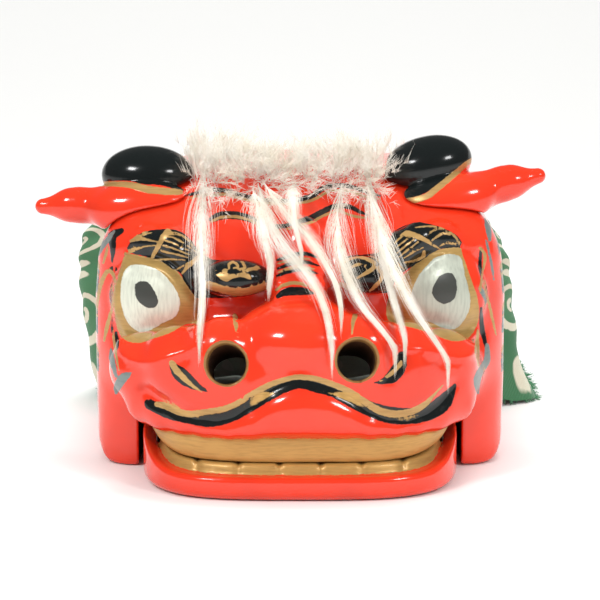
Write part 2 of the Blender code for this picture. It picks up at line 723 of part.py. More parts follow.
def make_feathers(clay, down, finish):
    """Long feathers that hang from the down over the face, each in front of those below it."""
    fronts = front_of(clay)
    for name, width, line in FEATHERS:
        path = curve_points(line, 6)
        under = [
            np.ix_(np.abs(clay.axes[0] - x) < width + 1.5, np.abs(clay.axes[2] - z) < 3.0) for x, z in path
        ]
        depth = hanging([min(fronts[place].min(), 6.0) - FEATHER_LIFT for place in under])
        rings = []
        for i, ((x, z), y, place) in enumerate(zip(path, depth, under)):
            rings.append(blade_ring((x, y, z), i / (len(path) - 1), width))
            fronts[place] = np.minimum(fronts[place], y)
        clear = [min(down.at(*corner) for corner in ring) > CARVED_GAP / UNIT.x for ring in rings]
        first = max([i + 1 for i, free in enumerate(clear) if not free], default=0)
        kept = np.unique(np.linspace(first, len(rings) - 1, 11).round().astype(int))
        made = bmesh.new()
        drawn = [[made.verts.new(in_place(corner)) for corner in rings[i]] for i in kept]
        for before, after in zip(drawn, drawn[1:]):
            for k in range(4):
                made.faces.new((before[k], before[(k + 1) % 4], after[(k + 1) % 4], after[k]))
        made.faces.new(drawn[0][::-1])
        made.faces.new(drawn[-1])
        bmesh.ops.recalc_face_normals(made, faces=made.faces)
        mesh = bpy.data.meshes.new(name)
        made.to_mesh(mesh)
        made.free()
        link(name, mesh, finish)


def build():
    clear_scene()
    red = material("red_lacquer", (0.80, 0.03, 0.015), 0.15)
    wood = material("dark_wood", (0.10, 0.04, 0.02), 0.5)
    cloth = material("green_cotton", (0.03, 0.16, 0.07), 0.9)
    white = material("white_feather", (0.85, 0.83, 0.76), 0.8)
    clay, down = head_clay(2.5), down_clay(2.5)
    make_upper_head(clay, red)
    make_lower_jaw(red)
    make_pegs(wood)
    make_ears(red)
    make_cape(cloth)
    make_down(down, white)
    make_feathers(clay, down, white)


build()
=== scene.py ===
# %% [markdown]
# # A Japanese lion dance head
#
# This head is carved from light wood, lacquered red and painted. Its jaw hangs on two pegs, two
# ears are let into the crown, white feathers fall over its face, and a green cloth hides the dancer.
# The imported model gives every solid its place. This script gives each of them its carving, its
# paint, its barbs and its weave.
#
# Everything carved is measured in the carver's millimetres, with the front of the snout near
# y = -124 and the table at z = 0, and only the finished points are turned into metres.

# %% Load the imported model
import math

import bpy
import numpy as np
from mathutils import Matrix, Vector


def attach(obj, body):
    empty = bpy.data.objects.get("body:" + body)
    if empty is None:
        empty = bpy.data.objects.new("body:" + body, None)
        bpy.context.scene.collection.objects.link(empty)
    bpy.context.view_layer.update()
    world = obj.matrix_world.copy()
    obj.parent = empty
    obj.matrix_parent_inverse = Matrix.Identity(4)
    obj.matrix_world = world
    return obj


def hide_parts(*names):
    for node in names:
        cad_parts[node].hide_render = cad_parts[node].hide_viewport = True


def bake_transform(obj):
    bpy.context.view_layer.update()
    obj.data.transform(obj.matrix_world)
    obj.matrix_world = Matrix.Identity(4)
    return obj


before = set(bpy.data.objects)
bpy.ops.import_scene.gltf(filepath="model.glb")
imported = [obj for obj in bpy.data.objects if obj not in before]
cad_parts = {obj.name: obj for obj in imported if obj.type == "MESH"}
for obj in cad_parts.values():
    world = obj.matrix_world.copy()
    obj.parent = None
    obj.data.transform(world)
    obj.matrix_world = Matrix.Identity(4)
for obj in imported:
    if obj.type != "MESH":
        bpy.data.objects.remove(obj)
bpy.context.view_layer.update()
MM = 0.001
print("nodes:", sorted(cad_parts))

# %% [markdown]
# ## The camera, the floor and the light
#
# The photograph looks down a little on the head from far away, with a long lens. Its paint is drawn
# later in the same view, so the view is written down once, as a rule that turns a place on the head
# into a place in the photograph's frame of 600 by 600. A camera with a target and a height angle is
# easier to set against a photograph than one that is placed by hand.

# %% The photograph's view
FRAME_SIDE = 600
FOCAL_PIXELS = 2414.0
VIEW_TARGET = (0.0, -10.0, 91.0)
VIEW_DISTANCE = 1400.0
VIEW_HEIGHT_ANGLE = math.radians(10.5)
COS_VIEW, SIN_VIEW = math.cos(VIEW_HEIGHT_ANGLE), math.sin(VIEW_HEIGHT_ANGLE)


def in_photo(points):
    """Where points of the head fall in the photograph's frame."""
    x, y, z = (points - np.array(VIEW_TARGET)).T
    ahead = VIEW_DISTANCE + y * COS_VIEW - z * SIN_VIEW
    up = z * COS_VIEW + y * SIN_VIEW
    middle = FRAME_SIDE / 2
    return np.stack([middle + FOCAL_PIXELS * x / ahead, middle - FOCAL_PIXELS * up / ahead], axis=1)


def look_from(distance):
    target = Vector(VIEW_TARGET) * MM
    back = Vector((0.0, -COS_VIEW, SIN_VIEW))
    bpy.ops.object.camera_add(location=target + back * distance * MM)
    camera = bpy.context.object
    camera.name = "camera"
    camera.rotation_euler = (-back).to_track_quat("-Z", "Y").to_euler()
    camera.data.sensor_width = 36.0
    camera.data.lens = 36.0 * FOCAL_PIXELS / FRAME_SIDE
    camera.data.clip_end = 20.0
    bpy.context.scene.camera = camera


look_from(VIEW_DISTANCE)
print("the nose falls at", in_photo(np.array([[0.0, -122.0, 80.0]])).round(1))

# %% [markdown]
# The head was photographed on white paper under large soft lamps. Paper that curves up behind the
# object has no horizon. Two soft boxes give the long white gleams on the lacquer, a wide one above
# lights it without a gleam, and a pale world fills the shadows.


# %% Paper and lamps
def shader_of(material):
    return material.node_tree.nodes["Principled BSDF"]


def new_material(name, colour=(0.8, 0.8, 0.8), roughness=0.5, metallic=0.0):
    made = bpy.data.materials.new(name)
    made.use_nodes = True
    shader = shader_of(made)
    shader.inputs["Base Color"].default_value = (*colour, 1.0)
    shader.inputs["Roughness"].default_value = roughness
    shader.inputs["Metallic"].default_value = metallic
    return made


def deselect_all():
    for item in bpy.context.selected_objects:
        item.select_set(False)


def select_only(item):
    deselect_all()
    item.select_set(True)
    bpy.context.view_layer.objects.active = item


def paper_sweep():
    """A sheet of paper that lies flat under the head and curves up far behind it."""
    deselect_all()
    bpy.ops.mesh.primitive_plane_add(size=8.0, location=(0.0, -1.0, -0.0004))
    sweep = bpy.context.object
    sweep.name = "paper_sweep"
    bpy.ops.object.mode_set(mode="EDIT")
    bpy.ops.mesh.subdivide(number_cuts=60)
    bpy.ops.object.mode_set(mode="OBJECT")
    bend_from, radius = 1.2, 1.6
    for vertex in sweep.data.vertices:
        beyond = vertex.co.y - 1.0 - bend_from
        if beyond > 0.0:
            angle = min(beyond / radius, math.pi / 2)
            rest = beyond - angle * radius
            vertex.co.y = 1.0 + bend_from + radius * math.sin(angle)
            vertex.co.z = radius * (1.0 - math.cos(angle)) + rest
    bpy.ops.object.shade_smooth()
    sweep.data.materials.append(new_material("white_paper", (0.86, 0.86, 0.85), 0.9))


def soft_box(name, place, size, power, gleams=True):
    bpy.ops.object.light_add(type="AREA", location=place)
    lamp = bpy.context.object
    lamp.name = name
    lamp.data.shape = "RECTANGLE"
    lamp.data.size, lamp.data.size_y = size
    lamp.data.energy = power
    lamp.visible_glossy = gleams
    aim = Vector((0.0, 0.0, 0.09)) - Vector(place)
    lamp.rotation_euler = aim.to_track_quat("-Z", "Y").to_euler()


def pale_room(light, gleam):
    """A white room whose reflection in glossy things is dimmer than its light."""
    world = bpy.data.worlds.new("pale_room")
    bpy.context.scene.world = world
    world.use_nodes = True
    tree = world.node_tree
    ray = tree.nodes.new("ShaderNodeLightPath")
    strength = tree.nodes.new("ShaderNodeMapRange")
    strength.inputs["To Min"].default_value = light
    strength.inputs["To Max"].default_value = gleam
    tree.links.new(ray.outputs["Is Glossy Ray"], strength.inputs["Value"])
    background = tree.nodes["Background"]
    background.inputs["Color"].default_value = (1.0, 1.0, 0.99, 1.0)
    tree.links.new(strength.outputs[0], background.inputs["Strength"])


paper_sweep()
soft_box("left_box", (-0.9, -1.1, 1.25), (0.40, 0.28), 14.0)
soft_box("right_box", (1.0, -1.0, 0.95), (0.34, 0.26), 8.0)
soft_box("top_box", (0.1, 0.2, 1.5), (0.9, 0.6), 16.0, gleams=False)
pale_room(0.85, 0.14)
bpy.context.scene.view_settings.view_transform = "Standard"

# %% [markdown]
# ## Carving as clay
#
# The real head is one block of wood with rolls, balls and grooves that run into each other. Such
# forms could be pulled out of a cube by hand, but then each blend has to be smoothed by hand too.
# Here they are worked as clay: each form is a distance, below zero inside, and a soft minimum joins
# two of them with a rounded valley. The surface is where the sum is zero.

# %% Distances and how they join


def smooth_min(a, b, blend):
    share = np.clip(0.5 + 0.5 * (b - a) / blend, 0.0, 1.0)
    return b + (a - b) * share - blend * share * (1.0 - share)


def smooth_max(a, b, blend):
    return -smooth_min(-a, -b, blend)


def ball(centre, radii, turn=0.0):
    """An ellipsoid, turned about Z by this many degrees."""
    cos_turn, sin_turn = math.cos(math.radians(turn)), math.sin(math.radians(turn))

    def field(x, y, z):
        x, y, z = x - centre[0], y - centre[1], z - centre[2]
        x, y = x * cos_turn + y * sin_turn, y * cos_turn - x * sin_turn
        near = np.sqrt((x / radii[0]) ** 2 + (y / radii[1]) ** 2 + (z / radii[2]) ** 2)
        steep = np.sqrt((x / radii[0] ** 2) ** 2 + (y / radii[1] ** 2) ** 2 + (z / radii[2] ** 2) ** 2)
        return near * (near - 1.0) / np.maximum(steep, 1e-6)

    reach = max(radii)
    field.box = [[c - reach for c in centre], [c + reach for c in centre]]
    return field


def rod(start, end, start_radius, end_radius):
    """A round bar that tapers from one point to another."""
    start, end = np.array(start, float), np.array(end, float)
    along = end - start

    def field(x, y, z):
        x, y, z = x - start[0], y - start[1], z - start[2]
        share = np.clip((x * along[0] + y * along[1] + z * along[2]) / float(along @ along), 0.0, 1.0)
        away = (x - share * along[0]) ** 2 + (y - share * along[1]) ** 2 + (z - share * along[2]) ** 2
        return np.sqrt(away) - (start_radius + share * (end_radius - start_radius))

    reach = max(start_radius, end_radius)
    field.box = [list(np.minimum(start, end) - reach), list(np.maximum(start, end) + reach)]
    return field


def curve_points(points, steps=10):
    """A smooth curve through the points (Catmull-Rom), as an array."""
    points = np.array([points[0], *points, points[-1]], float)
    share = np.linspace(0.0, 1.0, steps, endpoint=False)[:, None]
    pieces = []
    for a, b, c, d in zip(points, points[1:], points[2:], points[3:]):
        pieces.append(0.5 * (
            2 * b + (c - a) * share + (2 * a - 5 * b + 4 * c - d) * share ** 2
            + (3 * b - a - 3 * c + d) * share ** 3
        ))
    return np.vstack([*pieces, points[-1:]])


def away_from_line(across, up, path):
    """The distance in a flat view from a chain of points, less the half width in their third column."""
    nearest = np.full(np.broadcast(across, up).shape, 1e3)
    for start, end in zip(path, path[1:]):
        run = end[:2] - start[:2]
        share = ((across - start[0]) * run[0] + (up - start[1]) * run[1]) / max(float(run @ run), 1e-9)
        share = np.clip(share, 0.0, 1.0)
        away = np.hypot(across - start[0] - share * run[0], up - start[1] - share * run[1])
        if len(start) > 2:
            away = away - (start[2] + share * (end[2] - start[2]))
        nearest = np.minimum(nearest, away)
    return nearest


print("two balls of radius 2, 3 apart, joined in the middle:", smooth_min(-0.5, -0.5, 1.0))

# %% [markdown]
# The clay itself is a block of space on a grid. To get a mesh from it, each cell that the surface
# crosses gets one point and each crossed grid line gets one quad. That mesh is coarse on purpose.
# Where the carving turns sharply or the painter's lines run, its faces are divided, and each new
# point is drawn onto the clay's surface again. The shading normals are the clay's own slope, so
# that the lacquer gleams evenly over large and small faces alike.


# %% A block of clay
class Clay:
    """A block of space on a grid, in which forms are joined and cut."""

    def __init__(self, low, high, step):
        self.low, self.step = np.array(low, float), step
        self.axes = [np.arange(a, b + step, step) for a, b in zip(low, high)]
        self.field = np.full([len(axis) for axis in self.axes], 50.0)

    def everywhere(self):
        x, y, z = self.axes
        return x[:, None, None], y[None, :, None], z[None, None, :]

    def _window(self, form, blend):
        if not hasattr(form, "box"):
            return tuple(slice(None) for _ in self.axes)
        margin = blend + 2 * self.step
        return tuple(
            slice(np.searchsorted(axis, low - margin), np.searchsorted(axis, high + margin))
            for axis, low, high in zip(self.axes, *form.box)
        )

    def _values(self, form, window):
        x, y, z = (axis[part] for axis, part in zip(self.axes, window))
        return form(x[:, None, None], y[None, :, None], z[None, None, :])

    def join(self, form, blend):
        window = self._window(form, blend)
        self.field[window] = smooth_min(self.field[window], self._values(form, window), blend)

    def cut(self, form, blend):
        window = self._window(form, blend)
        self.field[window] = smooth_max(self.field[window], -self._values(form, window), blend)

    def settle(self):
        """Keeps the finished form in single precision, with its slope for shading and drawing."""
        self.field = self.field.astype(np.float32)
        self.slope = [g.astype(np.float32) for g in np.gradient(self.field, self.step)]

    def sample(self, grid, points):
        """A grid's values at these points, by straight steps between its eight nearest corners."""
        place = (points - self.low) / self.step
        corner = np.clip(np.floor(place).astype(int), 0, np.array(grid.shape) - 2)
        share = np.clip(place - corner, 0.0, 1.0)
        total = np.zeros(len(points))
        for step_x in (0, 1):
            for step_y in (0, 1):
                for step_z in (0, 1):
                    weight = np.ones(len(points))
                    for axis, step in enumerate((step_x, step_y, step_z)):
                        weight *= share[:, axis] if step else 1.0 - share[:, axis]
                    i, j, k = corner.T
                    total += weight * grid[i + step_x, j + step_y, k + step_z]
        return total

    def slopes(self, points):
        slope = np.stack([self.sample(grid, points) for grid in self.slope], axis=1)
        return slope

    def drawn_on(self, points):
        """The points moved onto the surface."""
        for _ in range(2):
            slope = self.slopes(points)
            steep = np.maximum((slope ** 2).sum(axis=1), 0.05)
            move = slope * (self.sample(self.field, points) / steep)[:, None]
            length = np.linalg.norm(move, axis=1, keepdims=True)
            points = points - move * np.minimum(1.0, self.step / np.maximum(length, 1e-9))
        return points


CUBE_CORNERS = np.array([(i, j, k) for i in (0, 1) for j in (0, 1) for k in (0, 1)])
CUBE_EDGES = [
    (a, b) for a in CUBE_CORNERS for b in CUBE_CORNERS
    if (b - a).sum() == 1 and (b - a).min() == 0
]


def filled_corners(field):
    """The field with each place filled where the clay would meet itself only along an edge."""
    field = field.copy()
    for _ in range(8):
        for axis in range(3):
            plane = np.moveaxis(field, axis, 0)
            corners = [plane[:, :-1, :-1], plane[:, 1:, 1:], plane[:, 1:, :-1], plane[:, :-1, 1:]]
            a, b, c, d = (corner < 0.0 for corner in corners)
            crossing = (a == b) & (c == d) & (a != c)
            for corner in corners:
                corner[crossing & (corner >= 0.0)] = -0.05
    return field


def surface_net(field):
    """One point in each cell that the surface crosses, and one quad for each crossed grid line."""
    inside = field < 0.0
    cells = tuple(n - 1 for n in field.shape)
    filled = np.zeros(cells, np.int8)
    for i, j, k in CUBE_CORNERS:
        filled += inside[i:i + cells[0], j:j + cells[1], k:k + cells[2]]
    crossed = np.argwhere((filled > 0) & (filled < 8))
    number = np.full(cells, -1)
    number[tuple(crossed.T)] = np.arange(len(crossed))

    total, hits = np.zeros((len(crossed), 3)), np.zeros(len(crossed))
    for start, end in CUBE_EDGES:
        from_value = field[tuple((crossed + start).T)]
        to_value = field[tuple((crossed + end).T)]
        hit = (from_value < 0.0) != (to_value < 0.0)
        share = np.where(hit, from_value / np.where(hit, from_value - to_value, 1.0), 0.0)
        total += hit[:, None] * (start + share[:, None] * (end - start))
        hits += hit
    points = crossed + total / hits[:, None]

    quads = []
    for axis in range(3):
        first, second = (axis + 1) % 3, (axis + 2) % 3
        here = np.moveaxis(inside, (axis, first, second), (0, 1, 2))
        numbers = np.moveaxis(number, (axis, first, second), (0, 1, 2))
        change = here[:-1, 1:-1, 1:-1] != here[1:, 1:-1, 1:-1]
        a, b, c = np.nonzero(change)
        around = np.stack([
            numbers[a, b, c], numbers[a, b + 1, c], numbers[a, b + 1, c + 1], numbers[a, b, c + 1]
        ], axis=1)
        leaving = here[:-1, 1:-1, 1:-1][a, b, c]
        quads.append(np.where(leaving[:, None], around, around[:, ::-1]))
    return points, np.vstack(quads)


def points_of(item):
    """The piece's points, in the carver's millimetres."""
    flat = np.empty(len(item.data.vertices) * 3)
    item.data.vertices.foreach_get("co", flat)
    return flat.reshape(-1, 3) / MM


def set_points(item, points):
    item.data.vertices.foreach_set("co", (points * MM).ravel())
    item.data.update()


def clay_piece(name, clay, coarseness=2):
    """A mesh object on the clay's surface, from every second or third point of its grid."""
    field = clay.field[::coarseness, ::coarseness, ::coarseness]
    points, quads = surface_net(filled_corners(field))
    points = clay.drawn_on(clay.low + points * clay.step * coarseness) * MM
    mesh = bpy.data.meshes.new(name)
    mesh.from_pydata(points.tolist(), [], quads.tolist())
    made = bpy.data.objects.new(name, mesh)
    bpy.context.scene.collection.objects.link(made)
    return made


def fewer_faces(item, plain, ratio):
    """Collapses the faces whose points all satisfy plain(points)."""
    corners, starts = corner_lists(item.data)
    select_faces(item, np.minimum.reduceat(plain(points_of(item))[corners], starts))
    bpy.ops.object.mode_set(mode="EDIT")
    bpy.ops.mesh.decimate(ratio=ratio)
    bpy.ops.object.mode_set(mode="OBJECT")


def corner_lists(mesh):
    """Each face corner's point, and where each face starts and how many corners it has."""
    corners = np.empty(len(mesh.loops), np.int32)
    mesh.loops.foreach_get("vertex_index", corners)
    starts = np.empty(len(mesh.polygons), np.int32)
    mesh.polygons.foreach_get("loop_start", starts)
    return corners, starts


def select_faces(item, picked):
    """Selects the picked faces alone, ready for edit mode."""
    mesh = item.data
    for part in (mesh.vertices, mesh.edges):
        part.foreach_set("select", np.zeros(len(part), bool))
    mesh.polygons.foreach_set("select", picked)
    select_only(item)
    bpy.context.tool_settings.mesh_select_mode = (False, False, True)


def divide_where(item, clay, measure):
    """Divides the faces that measure(points, corners, starts) picks, and draws all points onto the clay."""
    select_faces(item, measure(points_of(item), *corner_lists(item.data)))
    bpy.ops.object.mode_set(mode="EDIT")
    bpy.ops.mesh.subdivide(number_cuts=1)
    bpy.ops.object.mode_set(mode="OBJECT")
    set_points(item, clay.drawn_on(points_of(item)))


def triangles_of(item):
    return sum(len(face.vertices) - 2 for face in item.data.polygons)


def shade_from_clay(item, clay):
    """Smooth shading whose normals are the clay's own slope."""
    mesh = item.data
    mesh.polygons.foreach_set("use_smooth", np.ones(len(mesh.polygons), bool))
    normals = clay.slopes(points_of(item))
    normals /= np.maximum(np.linalg.norm(normals, axis=1, keepdims=True), 1e-6)
    mesh.normals_split_custom_set_from_vertices(normals.tolist())


def give_attribute(item, name, values):
    layer = item.data.attributes.new(name, "FLOAT", "POINT")
    layer.data.foreach_set("value", np.asarray(values, np.float32))


print("a cube has", len(CUBE_EDGES), "edges, each of which the surface may cross")

# %% [markdown]
# ## The carved head
#
# The back of the head is a box with round upper corners, open below and behind. A broad snout stands
# out from it, with a round nose, two deep nostrils, puffed lips beside them and a smiling upper lip
# over a row of gilded teeth. The brows are thick rolls that end in a curl beside the nose, and the
# eyes bulge below them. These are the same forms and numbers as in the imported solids, on a finer grid,
# with the hollow, the nostrils and the peg holes cut in the same clay.

# %% Forms of the head
HEAD_WALL = 18.0
CHEEK_INNER_X = 92.5
HINGE = (74.0, 20.0)
PEG_HOLE_RADIUS = 4.3
NOSTRIL_RADIUS = 10.5
LIP_HEIGHT = 12.5

LIP_LINE = [
    (-84, 57), (-74, 52), (-62, 47), (-50, 45), (-38, 46), (-26, 53), (-12, 64), (0, 67),
    (14, 64), (26, 58), (38, 49), (50, 45), (62, 45), (74, 50), (84, 60),
]
LEFT_EYE = [
    (-97, 121), (-88, 119), (-76, 117), (-67, 108), (-59, 96), (-57, 86),
    (-72, 79), (-86, 74), (-98, 78), (-104, 89), (-103, 105), (-97, 121),
]
RIGHT_EYE = [
    (75, 123), (88, 124), (98, 117), (103, 101), (103, 88), (97, 77),
    (84, 77), (68, 83), (52, 86), (48, 94), (52, 102), (63, 113), (75, 123),
]
LEFT_BROW = [(-98, 125), (-85, 130), (-73, 130.5), (-63, 125), (-56, 117), (-47, 113)]
RIGHT_BROW = [(92, 127), (79, 133), (67, 134), (56, 129), (49, 121), (42, 116)]
NOSTRILS = [(-39.5, -118, 76), (30.5, -118, 78)]


def superellipse(x, y, middle_y, half_width, half_depth, power):
    """How far a point is outside a rounded box seen from above."""
    across = np.abs(x) / half_width
    along = np.abs(np.minimum(y - middle_y, 0.0)) / half_depth
    return ((across ** power + along ** power) ** (1 / power) - 1.0) * half_depth


def skull(x, y, z):
    """The box-like back of the head, with rounded upper corners and a forehead that slopes back."""
    corner = 46.0
    side = np.abs(x) - (118.0 - 6.0 * np.clip((z - 95.0) / 70.0, 0.0, 1.0) - corner)
    top = z - (163.0 + 3.0 * np.cos(x / 40.0) - corner)
    outline = np.hypot(np.maximum(side, 0.0), np.maximum(top, 0.0))
    outline = outline + np.minimum(np.maximum(side, top), 0.0) - corner
    face = -64.0 + 24.0 * (np.abs(x) / 100.0) ** 2.2 - y
    forehead = (z - 129.0) * 0.85 - (y + 62.0) * 0.53
    front = smooth_max(smooth_max(outline, face, 16.0), forehead, 14.0)
    cheek_edge = np.hypot(np.maximum(np.abs(x) - 98.0, 0.0), np.maximum(16.0 - z, 0.0)) - 20.0
    heel = (y - HINGE[0]) * 0.454 - z * 0.891
    front = smooth_max(front, np.where(z < 30.0, cheek_edge, -50.0), 2.0)
    return smooth_max(smooth_max(smooth_max(front, y - 100.0, 3.0), -z, 3.0), heel, 3.0)


def muzzle(x, y, z):
    """The broad snout over the mouth, whose sides run back into the cheeks."""
    plan = superellipse(x, y, -34.0, 105.0 - 0.02 * np.maximum(62.0 - z, 0.0) ** 2, 88.0, 2.7)
    upper = z - (88.0 - 0.0009 * x ** 2)
    return smooth_max(smooth_max(smooth_max(plan, upper, 26.0), 36.0 - z, 9.0), y - 20.0, 9.0)


def face_y(x):
    """Where the brows stand, seen from above."""
    return -69.0 + 0.0040 * x * x


def face_relief(across, up):
    """Height added to the face, seen from the front: eye rims, the lip's crease, forehead waves."""
    height = np.zeros(np.broadcast(across, up).shape)
    for rim in (LEFT_EYE, RIGHT_EYE):
        height += 1.8 * np.exp(-((away_from_line(across, up, curve_points(rim)) / 3.0) ** 2))
    height -= 3.0 * np.exp(-((away_from_line(across, up, curve_points(LIP_LINE)) / 5.0) ** 2))
    for level in (143.0, 153.0):
        wave = level + 2.5 * np.cos(across / 10.0)
        height += 1.2 * np.exp(-(((up - wave) / 3.5) ** 2)) * (np.abs(across) < 58)
    return height


def face_only(y):
    return np.clip((10.0 - y) / 40.0, 0.0, 1.0)


def crown(x, y, z):
    """The skull with its relief, which the ears and the down lie against."""
    return skull(x, y, z) - face_relief(x, z) * face_only(y)


def tooth_arch(x, y, z):
    """The upper teeth: one arch under the lip that leans out."""
    lean = 0.24 * (z - 20.0)
    outer = superellipse(x, y, -34.0, 83.0 + lean, 76.0 + lean, 3.2)
    band = np.abs(outer + 5.0) - 5.0
    lowest = LIP_HEIGHT + 6.6 + 15.0 * (np.abs(x) / 87.0) ** 8 + 4.0 * np.clip((y + 80.0) / 40.0, 0.0, 1.0)
    return smooth_max(smooth_max(band, np.maximum(lowest - z, z - 60.0), 2.0), y + 44.0, 2.0)


def hand_cut(x, y, z):
    """The slight unevenness that a knife and many coats of lacquer leave."""
    wide = np.sin(x / 9.0 + 0.4 * np.sin(z / 7.0)) * np.sin(y / 11.0 + 1.0) * np.sin(z / 8.0 + 2.0)
    small = np.sin(x / 3.7 + z / 6.1) * np.sin(y / 4.3 - x / 9.0) * np.sin(z / 4.9 + 0.7)
    return 0.22 * wide + 0.07 * small


def head_block(step):
    """The outside of the upper head, with its upper teeth."""
    clay = Clay((-124, -132, -6), (124, 106, 174), step)
    clay.join(skull, 1.0)
    clay.join(muzzle, 12.0)

    def under_muzzle(x, y, z):
        lip = 35.5 + 2.5 * np.cos(np.clip(x, -88, 88) / 20.0)
        return smooth_max(y + 42.0, z - lip, 6.0)

    clay.cut(under_muzzle, 6.0)
    clay.join(ball((0, -92, 85), (37, 33, 22)), 6.0)
    for x, y, z in NOSTRILS:
        side = math.copysign(1.0, x)
        clay.join(ball((x + side * 2, -104, z + 2), (20, 18, 21)), 5.0)
        clay.join(ball((x + side * 27, -93, z - 4), (20, 20, 20)), 7.0)
        clay.join(ball((x + side * 48, -76, z - 10), (18, 22, 18)), 9.0)
    lower_lip = []
    for x, z in LIP_LINE:
        fullness = (z - 33.0) / 2.0 - 0.5
        lower_lip.append(((x, -122.0 + 0.0043 * x * x + 0.9 * fullness, 34.5 + fullness), fullness))
    for (start, start_radius), (end, end_radius) in zip(lower_lip, lower_lip[1:]):
        clay.join(rod(start, end, start_radius, end_radius), 6.0)
    for brow in (LEFT_BROW, RIGHT_BROW):
        for start, end in zip(brow, brow[1:]):
            path = [(x, face_y(x) - 1.0, z) for x, z in (start, end)]
            clay.join(rod(*path, 9.0, 9.0), 4.0)
    for x, z in ((-36, 115), (36, 117)):
        clay.join(ball((x, -74, z), (20, 13, 10.5)), 3.0)
    for middle, turn in (((-80, -48, 99), -26.0), ((78, -48, 101), 26.0)):
        clay.join(ball(middle, (29, 14, 24), turn=turn), 4.0)
    clay.join(rod((0, -78, 98), (0, -62, 136), 15.0, 12.0), 10.0)
    for lift in range(4):
        back = -91.0 + 4.5 * lift
        clay.join(rod((-10, back, 106 + 7.5 * lift), (10, back, 106 + 7.5 * lift), 4.5, 4.5), 3.0)
    x, y, z = clay.everywhere()
    clay.field -= face_relief(x, z) * face_only(y)
    clay.join(tooth_arch, 1.5)
    clay.field += hand_cut(x, y, z)
    return clay


def hollow(x, y, z):
    """The inside of the head: its own form, less the wall, open below and behind."""
    raised = np.maximum(z, 62.0)
    shell = smooth_min(skull(x, np.minimum(y, 60.0), raised), muzzle(x, y, raised), 12.0) + HEAD_WALL
    held = smooth_max(shell, np.abs(x) - CHEEK_INNER_X, 6.0)
    mouth = superellipse(x, y, -34.0, 72.0, 68.0, 3.0)
    held = smooth_max(held, np.minimum(mouth, -38.0 - y), 3.0)
    jaw_room = smooth_max(np.maximum(np.abs(x) - CHEEK_INNER_X, -52.0 - y), z - 33.0, 3.0)
    held = np.minimum(held, jaw_room)
    return smooth_max(smooth_max(held, y - 112.0, 2.0), -8.0 - z, 2.0)


def nostril_bore(nostril):
    inward = np.array((-math.copysign(0.08, nostril[0]), 0.93, -0.34))
    return rod(nostril - inward * 20.0, nostril + inward * 50.0, NOSTRIL_RADIUS, NOSTRIL_RADIUS)


HEAD_STEP = 1.25
clay_head = head_block(HEAD_STEP)
outside_of_head = clay_head.field.copy()
clay_head.cut(hollow, 1.0)
for nostril in NOSTRILS:
    clay_head.cut(nostril_bore(nostril), 1.2)
for side in (-1.0, 1.0):
    hole = rod((side * 82.0, *HINGE), (side * 140.0, *HINGE), PEG_HOLE_RADIUS, PEG_HOLE_RADIUS)
    clay_head.cut(hole, 0.5)
clay_head.settle()
print("the head's clay holds", clay_head.field.size, "grid points")

# %% [markdown]
# ## Paint, drawn as a painter would
#
# The painter drew on the lacquer with a brush: a black moustache with a gold line in it, gold rims
# round silver eyes, brows of black with fine gold hairs, black curls with gold scrolls. An image
# would be the usual way to hold such drawing. Here each stroke is a short list of places in the
# photograph's frame, and every point of the head learns how far it is from the nearest stroke of
# each colour. The shader turns that distance into an edge, so the strokes stay sharp at any size.

# %% Strokes and areas
FAR = 12.0


class Paint:
    """How far each point is from the paint of each colour, below zero inside it."""

    def __init__(self, places, hidden):
        self.places, self.hidden, self.layers = places, hidden, {}

    def _near(self, path, reach):
        low, high = path[:, :2].min(axis=0) - reach, path[:, :2].max(axis=0) + reach
        return np.flatnonzero(((self.places > low) & (self.places < high)).all(axis=1))

    def _put(self, colour, chosen, distance):
        layer = self.layers.setdefault(colour, np.full(len(self.places), FAR))
        layer[chosen] = np.minimum(layer[chosen], distance)

    def stroke(self, colour, points):
        """A brush stroke through the points, whose third number is its half width there."""
        path = curve_points(points, 6)
        chosen = self._near(path, FAR + path[:, 2].max())
        across, up = self.places[chosen].T
        self._put(colour, chosen, away_from_line(across, up, path))

    def area(self, colour, outline, smooth=True):
        """All that lies inside a closed outline."""
        closed = np.array([*outline, outline[0]], float)
        path = curve_points(closed, 5) if smooth else closed
        chosen = self._near(path, FAR)
        across, up = self.places[chosen].T
        inside = np.zeros(len(chosen), bool)
        for (ax, ay), (bx, by) in zip(path, path[1:]):
            spans = (ay > up) != (by > up)
            crossing = ax + (up - ay) * (bx - ax) / (by - ay if by != ay else 1.0)
            inside ^= spans & (across < crossing)
        away = away_from_line(across, up, path)
        self._put(colour, chosen, np.where(inside, -away, away))

    def finished(self):
        """Every layer, taken away where the painter's view doesn't reach."""
        return {
            name: np.clip(np.maximum(layer, self.hidden), -FAR, FAR)
            for name, layer in self.layers.items()
        }


print("a painter's brush reaches", FAR, "steps of the photograph's frame")
